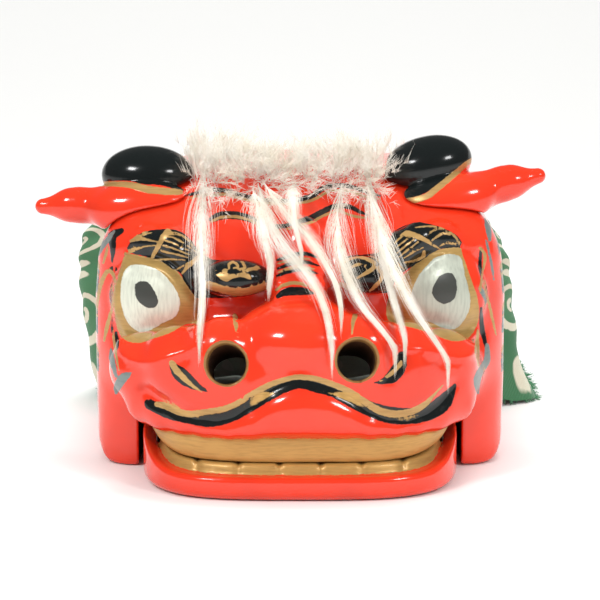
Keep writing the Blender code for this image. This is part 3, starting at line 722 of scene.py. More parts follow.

# %% [markdown]
# The face is painted in the painter's order: gold grounds round the eyes, silver on them, then the
# pupils, then all the black, and last the gold on top of the black. The right eye's silver is a darker
# copy of the left eye's, which is painted shade. Each stroke swells and tapers, so its points carry
# its half width as a third number.

# %% The face's strokes
EYE_GROUNDS = [
    [
        (123, 259), (128, 254), (146, 257), (160, 260), (171, 265), (182, 277), (190, 288), (198, 299),
        (202, 310), (201, 323), (186, 324), (170, 333), (152, 339), (139, 343), (125, 340), (117, 327),
        (114, 300), (118, 276),
    ],
    [
        (430, 253), (441, 249), (459, 247), (463, 256), (469, 273), (478, 300), (478, 322), (468, 338),
        (452, 341), (430, 333), (402, 325), (388, 320), (387, 304), (391, 291), (403, 276), (416, 263),
    ],
]
EYE_SILVERS = [
    [
        (131, 265), (144, 265), (158, 270), (168, 279), (176, 290), (180, 302), (176, 316), (163, 323),
        (148, 331), (137, 331), (127, 321), (121, 303), (121, 283), (125, 270),
    ],
    [
        (434, 258), (449, 254), (461, 258), (465, 275), (470, 297), (468, 313), (458, 327), (447, 329),
        (430, 322), (416, 315), (411, 303), (412, 291), (419, 275),
    ],
]
PUPILS = [
    [(135, 284), (141, 281), (149, 283), (156, 294), (158, 303), (153, 308), (144, 306), (136, 297)],
    [
        (434, 285), (440, 276), (449, 273), (455, 277), (457, 290), (453, 300), (444, 304), (436, 300),
        (432, 293),
    ],
]
BROWS = [
    [
        (124, 257), (127, 248), (132, 240), (141, 233), (152, 230), (168, 229), (180, 231), (190, 239),
        (196, 247), (201, 252), (211, 259), (222, 260), (238, 259), (251, 261), (261, 265), (267, 271),
        (267, 284), (264, 291), (250, 295), (236, 297), (220, 298), (206, 298), (198, 299), (191, 291),
        (184, 281), (180, 273), (171, 268), (160, 261), (147, 257), (135, 254), (129, 253),
    ],
    [
        (461, 248), (462, 243), (457, 236), (446, 229), (430, 224), (417, 222), (404, 226), (393, 232),
        (389, 243), (381, 251), (370, 254), (358, 255), (346, 257), (341, 266), (343, 280), (352, 289),
        (366, 293), (381, 293), (391, 291), (397, 276), (405, 271), (413, 266), (424, 259), (432, 253),
        (441, 249), (452, 247.5),
    ],
]
BLACK_STROKES = [
    [(149, 404, 5), (163, 411, 5.5), (178, 416, 5.5), (197, 419, 6.5), (212, 419, 8), (232, 414, 7.5),
     (250, 404, 7.5), (268, 394, 7), (284, 387, 6), (300, 383, 5.5), (316, 387, 5.5), (334, 391, 6.5),
     (352, 400, 7.5), (370, 409, 7.5), (390, 415, 8.5), (411, 416, 8), (430, 412, 8), (443, 403, 8),
     (451, 392, 4.5), (455, 385, 1.5)],
    [(173, 366, 3.5), (180, 374, 7), (190, 382, 6), (200, 388, 2.6), (212, 392, 0.6)],
    [(402, 356, 4.5), (400, 366, 6.5), (393, 376, 6.5), (384, 381, 3.2), (375, 383, 0.8)],
    [(212, 219, 3), (220, 216, 4.2), (231, 215, 4), (244, 217, 3.8), (258, 221.5, 3.4), (272, 226, 2.6),
     (284, 226, 2.2), (297, 222, 2.4), (311, 218, 3.2), (322, 212, 3), (336, 206, 2.6), (350, 207, 2.4),
     (360, 212, 1.8), (367, 215, 0.8)],
    [(186, 196, 1.2), (200, 192, 2), (214, 190, 2.4), (226, 191, 2.4), (240, 195, 2.4), (257, 199, 2.4),
     (278, 201, 2.4), (298, 200, 2.6), (312, 196, 2.8), (326, 187, 2.6), (346, 186, 2.4), (364, 191, 2),
     (380, 196, 1)],
    [(277, 260, 1.2), (286, 257.5, 2), (296, 254.5, 2.4), (307, 254, 2), (318, 258, 1)],
    [(278, 268.5, 1.4), (287, 265, 2), (297, 262.5, 2), (308, 262.5, 1.8), (319, 266, 1)],
    [(277, 276, 1.2), (286, 272.5, 1.9), (296, 270, 1.9), (308, 270.5, 1.6), (318, 274, 0.8)],
    [(278, 296, 2.4), (286, 292, 4), (296, 291, 4.4), (305, 291.5, 3.6), (313, 293.5, 1.2)],
]
GOLD_STROKES = [
    [(157, 404, 2.6), (166, 406, 3.4), (177, 411, 3.4), (190, 414, 3.4), (206, 412, 3), (224, 409, 3),
     (238, 403, 3), (254, 393, 2.9), (272, 384, 2.8), (287, 379, 2.6), (300, 377, 2.6), (316, 379, 2.8),
     (332, 384, 3), (348, 391, 3.2), (362, 400, 3.4), (378, 410, 3.6), (394, 414, 3.6), (410, 412, 3.4),
     (424, 405, 3), (434, 395, 1.4), (443, 385, 0.6)],
    [(172, 363, 3), (177, 371, 3.2), (185, 379, 2.8), (193, 386, 1.6), (202, 392, 0.5)],
    [(402, 362, 2.2), (396, 369, 2), (388, 376, 1.7), (378, 382, 0.6)],
    [(235, 316, 2.6), (236, 326, 2), (238, 338, 0.8)],
    [(355, 316, 2.6), (353, 323, 2), (352, 334, 0.7)],
    [(211, 222, 1), (220, 217.5, 1.5), (234, 216.5, 1.5), (248, 219.5, 1.3), (260, 225, 1.3),
     (272, 230, 1.1), (284, 230, 1), (298, 226, 1.1), (312, 222, 1.4), (323, 216, 1.3), (338, 211, 1.2),
     (350, 215, 1.3), (362, 217.5, 1.2), (367, 217, 0.8)],
    [(188, 199, 0.8), (202, 195, 1.1), (214, 195, 1.7), (226, 194.5, 1.6), (240, 198, 1.4),
     (257, 202, 1.3), (280, 204, 1.2), (300, 203, 1.3), (315, 199, 1.4), (330, 191, 1.3), (348, 191, 1.3),
     (364, 196, 1.2), (380, 199, 0.6)],
    [(278, 263.5, 0.8), (288, 261, 1.3), (298, 258, 1.3), (310, 259, 0.8)],
    [(279, 272, 0.8), (290, 268.3, 1.4), (301, 267, 1.3), (314, 269, 0.8)],
    [(276, 290, 1.2), (283, 285.5, 1.8), (292, 283, 1.9), (302, 284, 1.6), (314, 289, 0.8)],
    # The left brow: its parting, the hairs to its right and left, and the stroke beside the curl
    [(168, 232, 3.4), (164, 236, 2.9), (161, 241, 2.6), (158, 247, 2.4), (155, 252, 2.1), (152, 258, 1.4)],
    [(170, 232.5, 1.2), (178, 234, 1.3), (185, 237.5, 1.2), (190, 242, 1), (193, 247, 0.7)],
    [(168, 236.5, 0.8), (174, 238, 0.9), (181, 241.5, 0.9), (188, 246, 0.8), (195, 251, 0.5)],
    [(165, 240.5, 0.8), (173, 243, 0.9), (182, 247.5, 0.8), (192, 252, 0.5)],
    [(163, 245.5, 1), (171, 247.7, 0.9), (180, 251, 0.8), (190, 255, 0.5)],
    [(161, 250.5, 1), (167, 252.5, 1.1), (175, 254, 0.9), (184, 256.5, 0.7), (190, 258, 0.5)],
    [(154, 259.8, 0.8), (163, 259.5, 1), (173, 259.3, 0.9), (185, 260, 0.5)],
    [(158, 242, 0.7), (151, 240.5, 0.9), (144, 239, 1.5), (137, 238.5, 2.3), (131, 241, 1.3)],
    [(156, 245.5, 0.5), (149, 246, 0.7), (143, 247, 1.1), (136, 249, 1.7), (129, 251.5, 2.4), (126, 254, 2)],
    [(152, 233, 0.5), (145, 234, 0.8), (138, 236.5, 0.8), (132, 240, 0.8)],
    [(148, 231.5, 0.5), (141, 233.5, 0.7), (135, 237, 0.7)],
    [(182, 273.5, 0.9), (186, 268.5, 1.8), (191, 263.5, 2.3), (197, 258.5, 2.3), (204, 253, 1.6)],
    [(175, 270, 0.6), (182, 266.5, 0.9), (188, 263, 0.5)],
    # The right brow, in the same order
    [(401, 236, 1.2), (407, 233, 2.3), (413, 234.5, 2.6), (421, 238, 2.4), (428, 241.5, 1.8),
     (434, 245.5, 1.2), (440, 249, 0.6)],
    [(405, 234.5, 0.8), (400, 238, 0.9), (395, 243, 0.6)],
    [(410, 237, 0.8), (403, 242, 0.9), (396, 248, 0.6)],
    [(414, 239.5, 0.8), (406, 245.5, 0.9), (397, 253, 0.6)],
    [(418, 242, 0.7), (409, 249, 0.9), (399, 257, 0.6)],
    [(423, 247.5, 0.5), (414, 252, 0.8), (404, 258, 0.6)],
    [(426, 236, 0.5), (431, 232, 0.9), (438, 229, 0.9), (447, 230, 0.6)],
    [(432, 240.5, 0.7), (437, 236.5, 1.2), (443, 233.5, 1.1), (450, 234.5, 0.7)],
    [(440, 246, 0.6), (446, 243, 1.1), (453, 243.5, 1.2), (460, 245.5, 0.9)],
    [(412, 228.5, 0.5), (422, 226.5, 0.7), (434, 226.5, 0.8), (446, 230, 0.9), (455, 236.5, 1),
     (460, 244, 0.9)],
    [(424, 252, 1.6), (423.5, 256, 2), (419, 259, 1.4), (412, 261.5, 1), (404, 262.5, 0.6)],
    [(397, 262, 0.5), (400, 266, 0.9), (404, 269.5, 0.6)],
    # Scrolls on the left curl, with the peaks of its gold hem
    [(229, 269, 1), (229, 264.5, 1.4), (232.5, 262, 1.2), (236.5, 264, 1.3), (238, 267, 1.3), (234, 268, 1)],
    [(241, 261.5, 0.7), (243.5, 263.5, 1.4), (244.5, 268, 1.3), (238, 269, 0.8)],
    [(216, 272, 1.4), (220, 275, 2.8), (226, 278.5, 2.8), (232, 276.5, 2.4), (238, 275.5, 1.9),
     (244, 275, 2.3), (248, 276.5, 2.4), (250, 278.5, 1.2)],
    [(227, 274, 1), (223, 271.5, 1.2), (226, 269.5, 1), (229, 270.5, 0.6)],
    [(242, 274, 1.2), (247, 270.5, 1.6), (252, 269, 1.5), (258, 269.5, 0.9)],
    [(252, 270, 0.9), (256.5, 267, 1.5), (261, 270, 0.8)],
    [(209, 285, 4.2), (218, 288, 4), (227, 290.5, 3.8), (237, 292, 4), (247, 291.5, 3.7), (257, 289, 3.8),
     (265, 286.5, 4)],
    [(228, 290, 2.4), (228, 286, 0.4)],
    [(239, 290, 2.8), (239, 285.5, 0.4)],
    [(252, 289, 2.4), (251.5, 285, 0.4)],
    [(259, 287, 2.2), (258.5, 283, 0.4)],
    [(264, 285, 2.2), (264, 281, 0.4)],
    # Scrolls on the right curl
    [(345, 262, 1), (351, 258.5, 1.6), (359, 257, 1.5), (367, 259, 1.7), (374, 263, 2), (373, 268.5, 2),
     (366, 273, 1.8), (357, 278, 1)],
    [(352, 267, 1.3), (358, 264.5, 1.6), (365, 266, 1.1)],
    [(378, 268, 1.8), (382, 274, 2), (380, 281, 2), (375, 286.5, 2), (370, 291, 1)],
    [(370, 256, 0.6), (377, 259, 1), (380, 264, 0.8)],
    [(341, 284, 2.4), (350, 288, 2.8), (359, 291, 2)],
]
print(len(BLACK_STROKES), "black strokes and", len(GOLD_STROKES), "gold ones")

# %% [markdown]
# The sides of the head carry the lion's mane: locks in black, gold and silver grey that sweep back
# from the face and end in a hook. They are drawn from the side, in the carver's millimetres, with y
# along and z up, and each lock is one path that is used four times at different widths. Where the
# mane shows from the front, it is a few slivers beside the cheeks, drawn in the photograph's frame.

# %% Locks of the mane on the cheeks
LOCKS = [
    [(-58, 112, 2), (-40, 123, 6), (-16, 131, 7.5), (12, 132, 6.5), (34, 125, 5), (50, 113, 3),
     (56, 103, 0.6)],
    [(-56, 92, 2), (-38, 101, 6), (-12, 108, 7.5), (16, 107, 6.5), (42, 99, 5), (60, 86, 3), (66, 75, 0.6)],
    [(-58, 70, 2), (-38, 78, 5.5), (-12, 84, 7.5), (18, 83, 6.5), (46, 74, 5), (66, 60, 3), (71, 50, 0.6)],
    [(-56, 50, 2), (-36, 56, 5), (-10, 60, 6.5), (18, 57, 6), (42, 48, 4.5), (57, 36, 2.5), (61, 28, 0.6)],
]


def beside(lock, lift, thin):
    """The same lock moved up by a share of its half width, with another share of that half width."""
    return [(along, up + lift * half, thin * half) for along, up, half in lock]


def paint_mane(side):
    for lock in LOCKS:
        side.stroke("black", lock)
        side.stroke("gold", beside(lock, 0.98, 0.26))
        side.stroke("gold", beside(lock, 0.25, 0.14))
        side.stroke("grey", beside(lock, -0.95, 0.3))
        hook = [(lock[1][0] - 8.0, lock[1][1] - 9.0, 1.4), (lock[1][0] - 1.0, lock[1][1] - 8.0, 1.8),
                (lock[1][0] + 2.0, lock[1][1] - 13.0, 1.6), (lock[1][0] - 4.0, lock[1][1] - 15.0, 0.8)]
        side.stroke("gold", hook)


MANE_IN_FRONT = {
    "black": [
        [(121, 231, 3), (112, 236, 4.5), (113, 247, 3.2), (112, 262, 1)],
        [(112, 269, 2.4), (115, 269, 2.4)],
        [(112, 318, 0.8), (112, 332, 1.2)],
        [(116, 333, 1.4), (117, 342, 2.2), (117, 350, 0.8)],
        [(481, 250, 1.4), (480, 265, 2), (482, 280, 0.8)],
        [(481, 308, 1.2), (482, 328, 2.6), (486, 346, 1.6)],
    ],
    "grey": [
        [(98, 256, 1), (102, 247, 2.6), (109, 238, 2.4), (114, 231, 1.2)],
        [(111, 348, 1), (112, 360, 2.8), (116, 376, 1.6)],
        [(130, 374, 2), (123, 378, 4.5), (118, 386, 4), (116, 393, 1.5)],
        [(486, 219, 1.5), (488, 228, 3), (490, 240, 1.6)],
        [(480, 288, 2), (483, 293, 2.4), (485, 300, 1)],
        [(487, 345, 2), (487, 360, 3.4), (480, 372, 3.4), (477, 382, 3.6), (478, 393, 1.2)],
        [(486, 240, 1), (491, 262, 1.4), (494, 280, 0.8)],
    ],
    "gold": [
        [(97, 305, 1.2), (100, 287, 2), (106, 273, 2), (111, 271, 1.8), (115, 280, 1.4), (115, 292, 0.8)],
        [(103, 264, 0.8), (106, 254, 1.4), (108, 246, 0.8)],
        [(104, 341, 1), (107, 327, 2), (112, 308, 1.4), (114, 292, 0.8)],
        [(113, 331, 0.8), (115, 348, 1.3), (119, 370, 0.7)],
        [(480, 248, 1.4), (485, 256, 1.6), (482, 275, 1), (480, 290, 1.4)],
        [(486, 292, 0.8), (491, 312, 1.5), (496, 335, 0.8)],
        [(478, 330, 1), (477, 350, 2.4), (479, 366, 1)],
    ],
}
print(len(LOCKS), "locks on each cheek")

# %% [markdown]
# Now the head's own piece. The layers are worked out at every point, the mesh is divided near their
# edges, and the final points get the final distances. Paint is kept off what the painter's view
# grazes, because a stroke would smear along a surface that it sees edge on. A piece has to stay under
# 200,000 triangles, so the mesh starts coarse, and the last and finest pass is for fine strokes alone.

# %% The head's piece


def lengths_of(rows):
    return np.linalg.norm(rows, axis=1, keepdims=True)


def turned_to_view(slope):
    """How far a surface faces the photograph's camera: 1 when square to it, 0 when edge on."""
    return (slope / np.maximum(lengths_of(slope), 1e-6)) @ np.array([0.0, -COS_VIEW, SIN_VIEW])


def paint_face(points, hidden):
    face = Paint(in_photo(points), hidden)
    for outline in EYE_GROUNDS:
        face.area("ground", outline)
    # The right eye's silver is a darker copy of the left eye's: painted shade.
    for colour, outline in zip(("silver", "shaded_silver"), EYE_SILVERS):
        face.area(colour, outline)
    for outline in PUPILS:
        face.area("pupil", outline)
    for outline in BROWS:
        face.area("black", outline)
    for stroke in BLACK_STROKES:
        face.stroke("black", stroke)
    for stroke in GOLD_STROKES:
        face.stroke("gold", stroke)
    for colour, strokes in MANE_IN_FRONT.items():
        for stroke in strokes:
            face.stroke(colour, stroke)
    return face.finished()


def head_paint(points):
    """The distance of each point from every layer of the head's paint."""
    slope = clay_head.slopes(points)
    under = -clay_head.sample(outside_of_head, points)
    buried = 8.0 * (under - 1.0)
    layers = paint_face(points, np.maximum(buried, 60.0 * (0.12 - turned_to_view(slope))))
    sideways = np.abs(slope[:, 0]) / np.maximum(lengths_of(slope)[:, 0], 1e-6)
    side = Paint(points[:, 1:], np.maximum(buried, 40.0 * (0.93 - sideways)))
    paint_mane(side)
    for colour, distance in side.finished().items():
        layers[colour] = np.minimum(layers.get(colour, FAR), distance)
    # Points more than 1.4 mm under the outer skin are a near-black brown: a guessed dark lacquer in the
    # hollow, and painted shade deep in the nostril bores.
    layers["inside"] = np.clip(5.0 * (1.4 - under), -FAR, FAR)
    bores = np.min([nostril_bore(nostril)(*points.T) for nostril in NOSTRILS], axis=0)
    layers["rim"] = np.clip(2.0 * np.maximum(np.abs(bores) - 1.6, under - 7.0), -FAR, FAR)
    teeth = 2.0 * (tooth_arch(*points.T) - 0.9)
    layers["teeth"] = np.clip(np.maximum(teeth, -layers["inside"]), -FAR, FAR)
    return layers


def spans_of(points, corners, starts):
    """The longest reach of each face."""
    high = np.maximum.reduceat(points[corners], starts, axis=0)
    return (high - np.minimum.reduceat(points[corners], starts, axis=0)).max(axis=1)


# How many millimetres of the face one step of the photograph's frame spans
STEP_OF_FRAME = 0.58
EDGE_BAND = 0.2


def near_paint_of(paint, smallest, names=None, apart=None):
    """Picks the faces on an edge of these layers that are larger than the smallest, apart from some."""
    def measure(points, corners, starts):
        layers = paint(points)
        span = spans_of(points, corners, starts)
        slack = EDGE_BAND * span / STEP_OF_FRAME
        picked = np.zeros(len(starts), bool)
        for name in names or layers:
            low = np.minimum.reduceat(layers[name][corners], starts)
            high = np.maximum.reduceat(layers[name][corners], starts)
            picked |= (low < slack) & (high > -slack)
        if apart is not None:
            picked &= ~np.minimum.reduceat(apart(points)[corners], starts)
        return picked & (span > smallest)
    return measure


def on_a_flank(points):
    return (np.abs(points[:, 0]) > 106.0) & (points[:, 1] > -50.0)


def turning(clay, least_turn, smallest, outer=None):
    """Picks the faces over which the clay's surface turns by more than this."""
    def measure(points, corners, starts):
        slope = clay.slopes(points)
        slope /= np.maximum(lengths_of(slope), 1e-6)
        high = np.maximum.reduceat(slope[corners], starts, axis=0)
        turn = (high - np.minimum.reduceat(slope[corners], starts, axis=0)).max(axis=1)
        picked = (turn > least_turn) & (spans_of(points, corners, starts) > smallest)
        if outer is not None:
            picked &= np.minimum.reduceat(outer(points)[corners], starts)
        return picked
    return measure


def out_of_sight(points):
    """The hollow, the back and the underside, which stay plain."""
    under = -clay_head.sample(outside_of_head, points)
    plain_side = (points[:, 1] > 72.0) | (points[:, 2] < 3.0)
    return (under > 3.0) | plain_side


def wear_paint(item, paint):
    for colour, distance in paint(points_of(item)).items():
        give_attribute(item, colour, distance)


FINE_LAYERS = ["black", "gold", "pupil"]
PAINT_PASSES = [(2.4, None, None), (1.35, None, on_a_flank), (0.84, FINE_LAYERS, on_a_flank)]
head = clay_piece("upper_head_carved", clay_head, coarseness=3)
fewer_faces(head, out_of_sight, 0.25)
divide_where(head, clay_head, turning(clay_head, 0.34, 2.2, outer=lambda p: p[:, 1] < 20.0))
for smallest, names, apart in PAINT_PASSES:
    divide_where(head, clay_head, near_paint_of(head_paint, smallest, names, apart))
wear_paint(head, head_paint)
shade_from_clay(head, clay_head)
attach(head, "head")
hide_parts("upper_head")
print("the head has", triangles_of(head), "triangles")

# %% [markdown]
# ## Lacquer and paint
#
# The lacquer is a deep red under a clear glossy coat, and each colour of paint lies on it with its
# own sheen. A layer's distance becomes a mask with an edge that a little noise makes uneven, as a
# brush does. The masks also raise the paint by a hair, which the gleams show.

# %% Nodes for materials


class Nodes:
    """Adds nodes to a material and joins them."""

    def __init__(self, tree):
        self.tree = tree
        self.place = self.add("ShaderNodeTexCoord").outputs["Object"]

    def add(self, kind, sockets=(), **settings):
        node = self.tree.nodes.new(kind)
        for name, value in settings.items():
            setattr(node, name, value)
        for name, value in dict(sockets).items():
            self.put(node.inputs[name], value)
        return node

    def put(self, socket, value):
        if isinstance(value, bpy.types.NodeSocket):
            self.tree.links.new(value, socket)
        else:
            socket.default_value = value

    def calculate(self, operation, *values):
        node = self.add("ShaderNodeMath", operation=operation)
        for socket, value in zip(node.inputs, values):
            self.put(socket, value)
        return node.outputs[0]

    def length(self, across, up):
        squares = [self.calculate("MULTIPLY", side, side) for side in (across, up)]
        return self.calculate("SQRT", self.calculate("ADD", *squares))

    def apart(self, first, second):
        return self.calculate("ABSOLUTE", self.calculate("SUBTRACT", first, second))

    def between(self, value, low, high, to_low=0.0, to_high=1.0):
        """The value's share of the way from low to high, kept within the two results."""
        sockets = {"From Min": low, "From Max": high, "To Min": to_low, "To Max": to_high, "Value": value}
        return self.add("ShaderNodeMapRange", sockets, clamp=True).outputs[0]

    def stored(self, name):
        return self.add("ShaderNodeAttribute", attribute_name=name).outputs["Fac"]

    def noise(self, scale, detail=2.0, stretch=(1.0, 1.0, 1.0), source=None):
        spread = self.add("ShaderNodeMapping", {"Vector": source or self.place, "Scale": stretch})
        sockets = {"Vector": spread.outputs[0], "Scale": scale, "Detail": detail}
        return self.add("ShaderNodeTexNoise", sockets).outputs[0]

    def mix(self, share, first, second):
        node = self.add("ShaderNodeMix", data_type="RGBA")
        for name, value in (("Factor_Float", share), ("A_Color", first), ("B_Color", second)):
            socket = next(s for s in node.inputs if s.identifier == name)
            self.put(socket, (*value, 1.0) if isinstance(value, tuple) else value)
        return next(s for s in node.outputs if s.identifier == "Result_Color")

    def blend(self, share, first, second):
        """A value that goes from first to second."""
        return self.between(share, 0.0, 1.0, first, second)

    def bump(self, height, distance, strength=1.0):
        sockets = {"Height": height, "Distance": distance, "Strength": strength}
        return self.add("ShaderNodeBump", sockets).outputs[0]


print("Nodes adds and joins shader nodes")

# %% [markdown]
# Each entry of the table is a layer: the distance that it comes from, its colour, how rough it is
# and how metallic. The order is the painter's order.

# %% Red lacquer with its layers of paint
PAINT_LAYERS = [
    ("ground", (0.43, 0.27, 0.085), 0.42, 0.3),
    ("silver", (0.66, 0.69, 0.58), 0.40, 0.2),
    # A darker copy of the silver for the right eye: painted shade.
    ("shaded_silver", (0.46, 0.49, 0.41), 0.40, 0.25),
    ("pupil", (0.045, 0.048, 0.042), 0.34, 0.0),
    ("black", (0.006, 0.008, 0.008), 0.16, 0.0),
    ("grey", (0.17, 0.21, 0.20), 0.40, 0.2),
    ("gold", (0.46, 0.28, 0.10), 0.36, 0.35),
    ("teeth", (0.50, 0.29, 0.085), 0.40, 0.3),
    # The near-black brown of the hollow, the nostril bores and the jaw's tray: a guessed dark lacquer, and
    # painted shade where the bores and the mouth are seen.
    ("inside", (0.060, 0.022, 0.010), 0.55, 0.0),
    ("rim", (0.30, 0.15, 0.045), 0.42, 0.3),
]


def lacquer(name, red, layers):
    made = new_material(name, red, 0.16)
    nodes, shader = Nodes(made.node_tree), shader_of(made)
    shader.inputs["Specular IOR Level"].default_value = 0.35
    shader.inputs["Coat Roughness"].default_value = 0.05
    wobble = nodes.between(nodes.noise(420.0, 3.0), 0.25, 0.75, -0.45, 0.45)
    streaks = {
        "level": nodes.noise(900.0, 2.0, stretch=(0.12, 0.12, 1.0)),
        "upright": nodes.noise(700.0, 3.0, stretch=(1.0, 1.0, 0.1)),
    }
    depth = nodes.between(nodes.noise(26.0, 3.0), 0.3, 0.7)
    colour = nodes.mix(depth, tuple(0.86 * c for c in red), tuple(min(1.0, 1.1 * c) for c in red))
    roughness, metallic, raised, coat = 0.16, 0.0, 0.0, 0.42
    for layer, paint, rough, metal in PAINT_LAYERS:
        if layer not in layers:
            continue
        edge = nodes.calculate("ADD", nodes.stored(layer), wobble)
        mask = nodes.between(edge, 0.32, -0.32)
        streak = streaks["upright" if "silver" in layer else "level"]
        uneven = nodes.between(streak, 0.3, 0.7, 0.82, 1.08)
        shade = nodes.mix(uneven, tuple(0.0 for _ in paint), paint) if metal else paint
        colour = nodes.mix(mask, colour, shade)
        roughness = nodes.blend(mask, roughness, rough)
        metallic = nodes.blend(mask, metallic, metal)
        coat = nodes.blend(mask, coat, 0.1)
        raised = nodes.calculate("ADD", raised, mask) if layer != "inside" else raised
    soft = nodes.noise(60.0, 2.0)
    height = nodes.calculate("ADD", nodes.calculate("MULTIPLY", soft, 1.5), raised)
    brushed = nodes.calculate("MULTIPLY", metallic, 0.8)
    height = nodes.calculate("MULTIPLY_ADD", streaks["level"], brushed, height)
    nodes.put(shader.inputs["Base Color"], colour)
    nodes.put(shader.inputs["Roughness"], roughness)
    nodes.put(shader.inputs["Metallic"], metallic)
    nodes.put(shader.inputs["Coat Weight"], coat)
    nodes.put(shader.inputs["Normal"], nodes.bump(height, 0.00012))
    return made


RED = (0.72, 0.034, 0.010)
head.data.materials.append(
    lacquer("red_lacquer_head", RED, {name for name, *_ in PAINT_LAYERS})
)
print("the head's material has", len(head.data.materials[0].node_tree.nodes), "nodes")

# %% [markdown]
# ## The lower jaw
#
# The jaw is a tray with a smiling rim. Its teeth stand inside the red lip and lean inwards, in one
# row that shallow notches part, and an arm on each side reaches back to its peg.

# %% The jaw's clay
JAW_HALF_WIDTH = 89.0
JAW_HALF_DEPTH = 86.0
JAW_WALL = 8.0
JAW_FLOOR = 8.0
JAW_ARM_TOP = 31.0
TOOTH_PITCH = 22.5


def jaw_smile(x, y, height, power=7):
    return height * (np.abs(x) / JAW_HALF_WIDTH) ** power * np.clip((y + 112.0) / 40.0, 0.0, 1.0)


def jaw_tray(x, y, z):
    outer = superellipse(x, y, -34.0, JAW_HALF_WIDTH, JAW_HALF_DEPTH, 3.4)
    ends = np.hypot(np.maximum(y - HINGE[0], 0.0), z - HINGE[1]) - (HINGE[1] - 0.5)
    outer = smooth_max(outer, np.where(y > HINGE[0], ends, -20.0), 1.0)
    edge = np.hypot(np.maximum(outer + 5.0, 0.0), np.maximum(5.0 - z, 0.0)) - 5.0
    smile = 15.0 * (np.abs(x) / JAW_HALF_WIDTH) ** 7 * np.clip((y + 112.0) / 40.0, 0.0, 1.0) ** 0.7
    near_hinge = np.clip((y - HINGE[0] + 50.0) / 40.0, 0.0, 1.0)
    arm = LIP_HEIGHT + (JAW_ARM_TOP - LIP_HEIGHT) * near_hinge
    rim = smooth_max(LIP_HEIGHT + smile, arm, 2.0)
    return np.maximum(smooth_max(np.maximum(outer, edge), z - rim, 3.0), -z)


def jaw_inside(x, y, z):
    inner = superellipse(x, y, -34.0, JAW_HALF_WIDTH - JAW_WALL, JAW_HALF_DEPTH - JAW_WALL, 3.4)
    return smooth_max(inner, np.where(y > 26.0, -20.0, JAW_FLOOR) - z, 2.0)


def jaw_teeth(x, y, z):
    lean = 0.3 * (z - 12.0)
    outer = superellipse(x, y, -34.0, JAW_HALF_WIDTH - 6.0 - lean, JAW_HALF_DEPTH - 6.5 - lean, 3.2)
    from_notch = np.abs(x - TOOTH_PITCH * (np.round(x / TOOTH_PITCH - 0.5) + 0.5)) / 1.6
    notch = np.exp(-(from_notch ** 2))
    top = LIP_HEIGHT + 6.3 + jaw_smile(x, y, 12.0) - 1.4 * notch
    band = smooth_max(outer + 0.7 * notch, -(outer + 10.0), 2.0)
    return smooth_max(smooth_max(band, z - top, 2.0), np.maximum(2.0 - z, y + 60.0), 2.0)


clay_jaw = Clay((-96, -128, -6), (96, 100, 60), 1.2)
clay_jaw.join(jaw_tray, 1.0)
clay_jaw.cut(jaw_inside, 1.0)
clay_jaw.join(jaw_teeth, 1.0)
clay_jaw.field += 0.6 * hand_cut(*clay_jaw.everywhere()) * np.clip(clay_jaw.everywhere()[2] / 6.0, 0.0, 1.0)
for side in (-1.0, 1.0):
    hole = rod((side * 70.0, *HINGE), (side * 110.0, *HINGE), PEG_HOLE_RADIUS, PEG_HOLE_RADIUS)
    clay_jaw.cut(hole, 0.5)
clay_jaw.settle()


def jaw_paint(points):
    within = superellipse(*points.T[:2], -34.0, JAW_HALF_WIDTH - JAW_WALL, JAW_HALF_DEPTH - JAW_WALL, 3.4)
    # The jaw's tray below the lip is the same near-black brown: a guessed dark lacquer, and painted shade in
    # the mouth.
    inside = np.where(points[:, 1] < 100.0, 2.0 * (within + 0.5), FAR)
    inside = np.maximum(inside, 3.0 * (points[:, 2] - LIP_HEIGHT - 1.0))
    teeth = np.maximum(2.0 * (jaw_teeth(*points.T) - 0.4), 2.0 * (10.5 - points[:, 2]))
    return {"teeth": np.clip(teeth, -FAR, FAR), "inside": np.clip(inside, -FAR, FAR)}


jaw = clay_piece("lower_jaw_carved", clay_jaw)
fewer_faces(jaw, lambda p: (p[:, 2] < 1.0) | (p[:, 1] > 20.0), 0.15)
divide_where(jaw, clay_jaw, turning(clay_jaw, 0.35, 1.4))
divide_where(jaw, clay_jaw, near_paint_of(jaw_paint, 1.0, names=["teeth"]))
wear_paint(jaw, jaw_paint)
shade_from_clay(jaw, clay_jaw)
jaw.data.materials.append(lacquer("red_lacquer_jaw", RED, {"teeth", "inside"}))
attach(jaw, "jaw")
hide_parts("lower_jaw")
print("the jaw has", triangles_of(jaw), "triangles")

# %% [markdown]
# The jaw hangs on two short dowels of dark wood. Each runs from a little outside the cheek, through
# it and the gap, to the inner side of the jaw's arm.

# %% Pegs
PEG_RADIUS = 4.0
PEG_INNER_X, PEG_OUTER_X = 82.0, 119.5


def dark_wood():
    made = new_material("dark_wood", (0.10, 0.04, 0.02), 0.5)
    nodes = Nodes(made.node_tree)
    grain = nodes.noise(500.0, 4.0, stretch=(0.08, 1.0, 1.0))
    colour = nodes.mix(nodes.between(grain, 0.3, 0.7), (0.05, 0.02, 0.01), (0.13, 0.055, 0.028))
    nodes.put(shader_of(made).inputs["Base Color"], colour)
    nodes.put(shader_of(made).inputs["Normal"], nodes.bump(grain, 0.0001, 0.6))
    return made


def settled(item):
    """The finished object at the origin, unturned and unscaled, with its place in its points."""
    select_only(item)
    bpy.ops.object.transform_apply(location=True, rotation=True, scale=True)
    return item


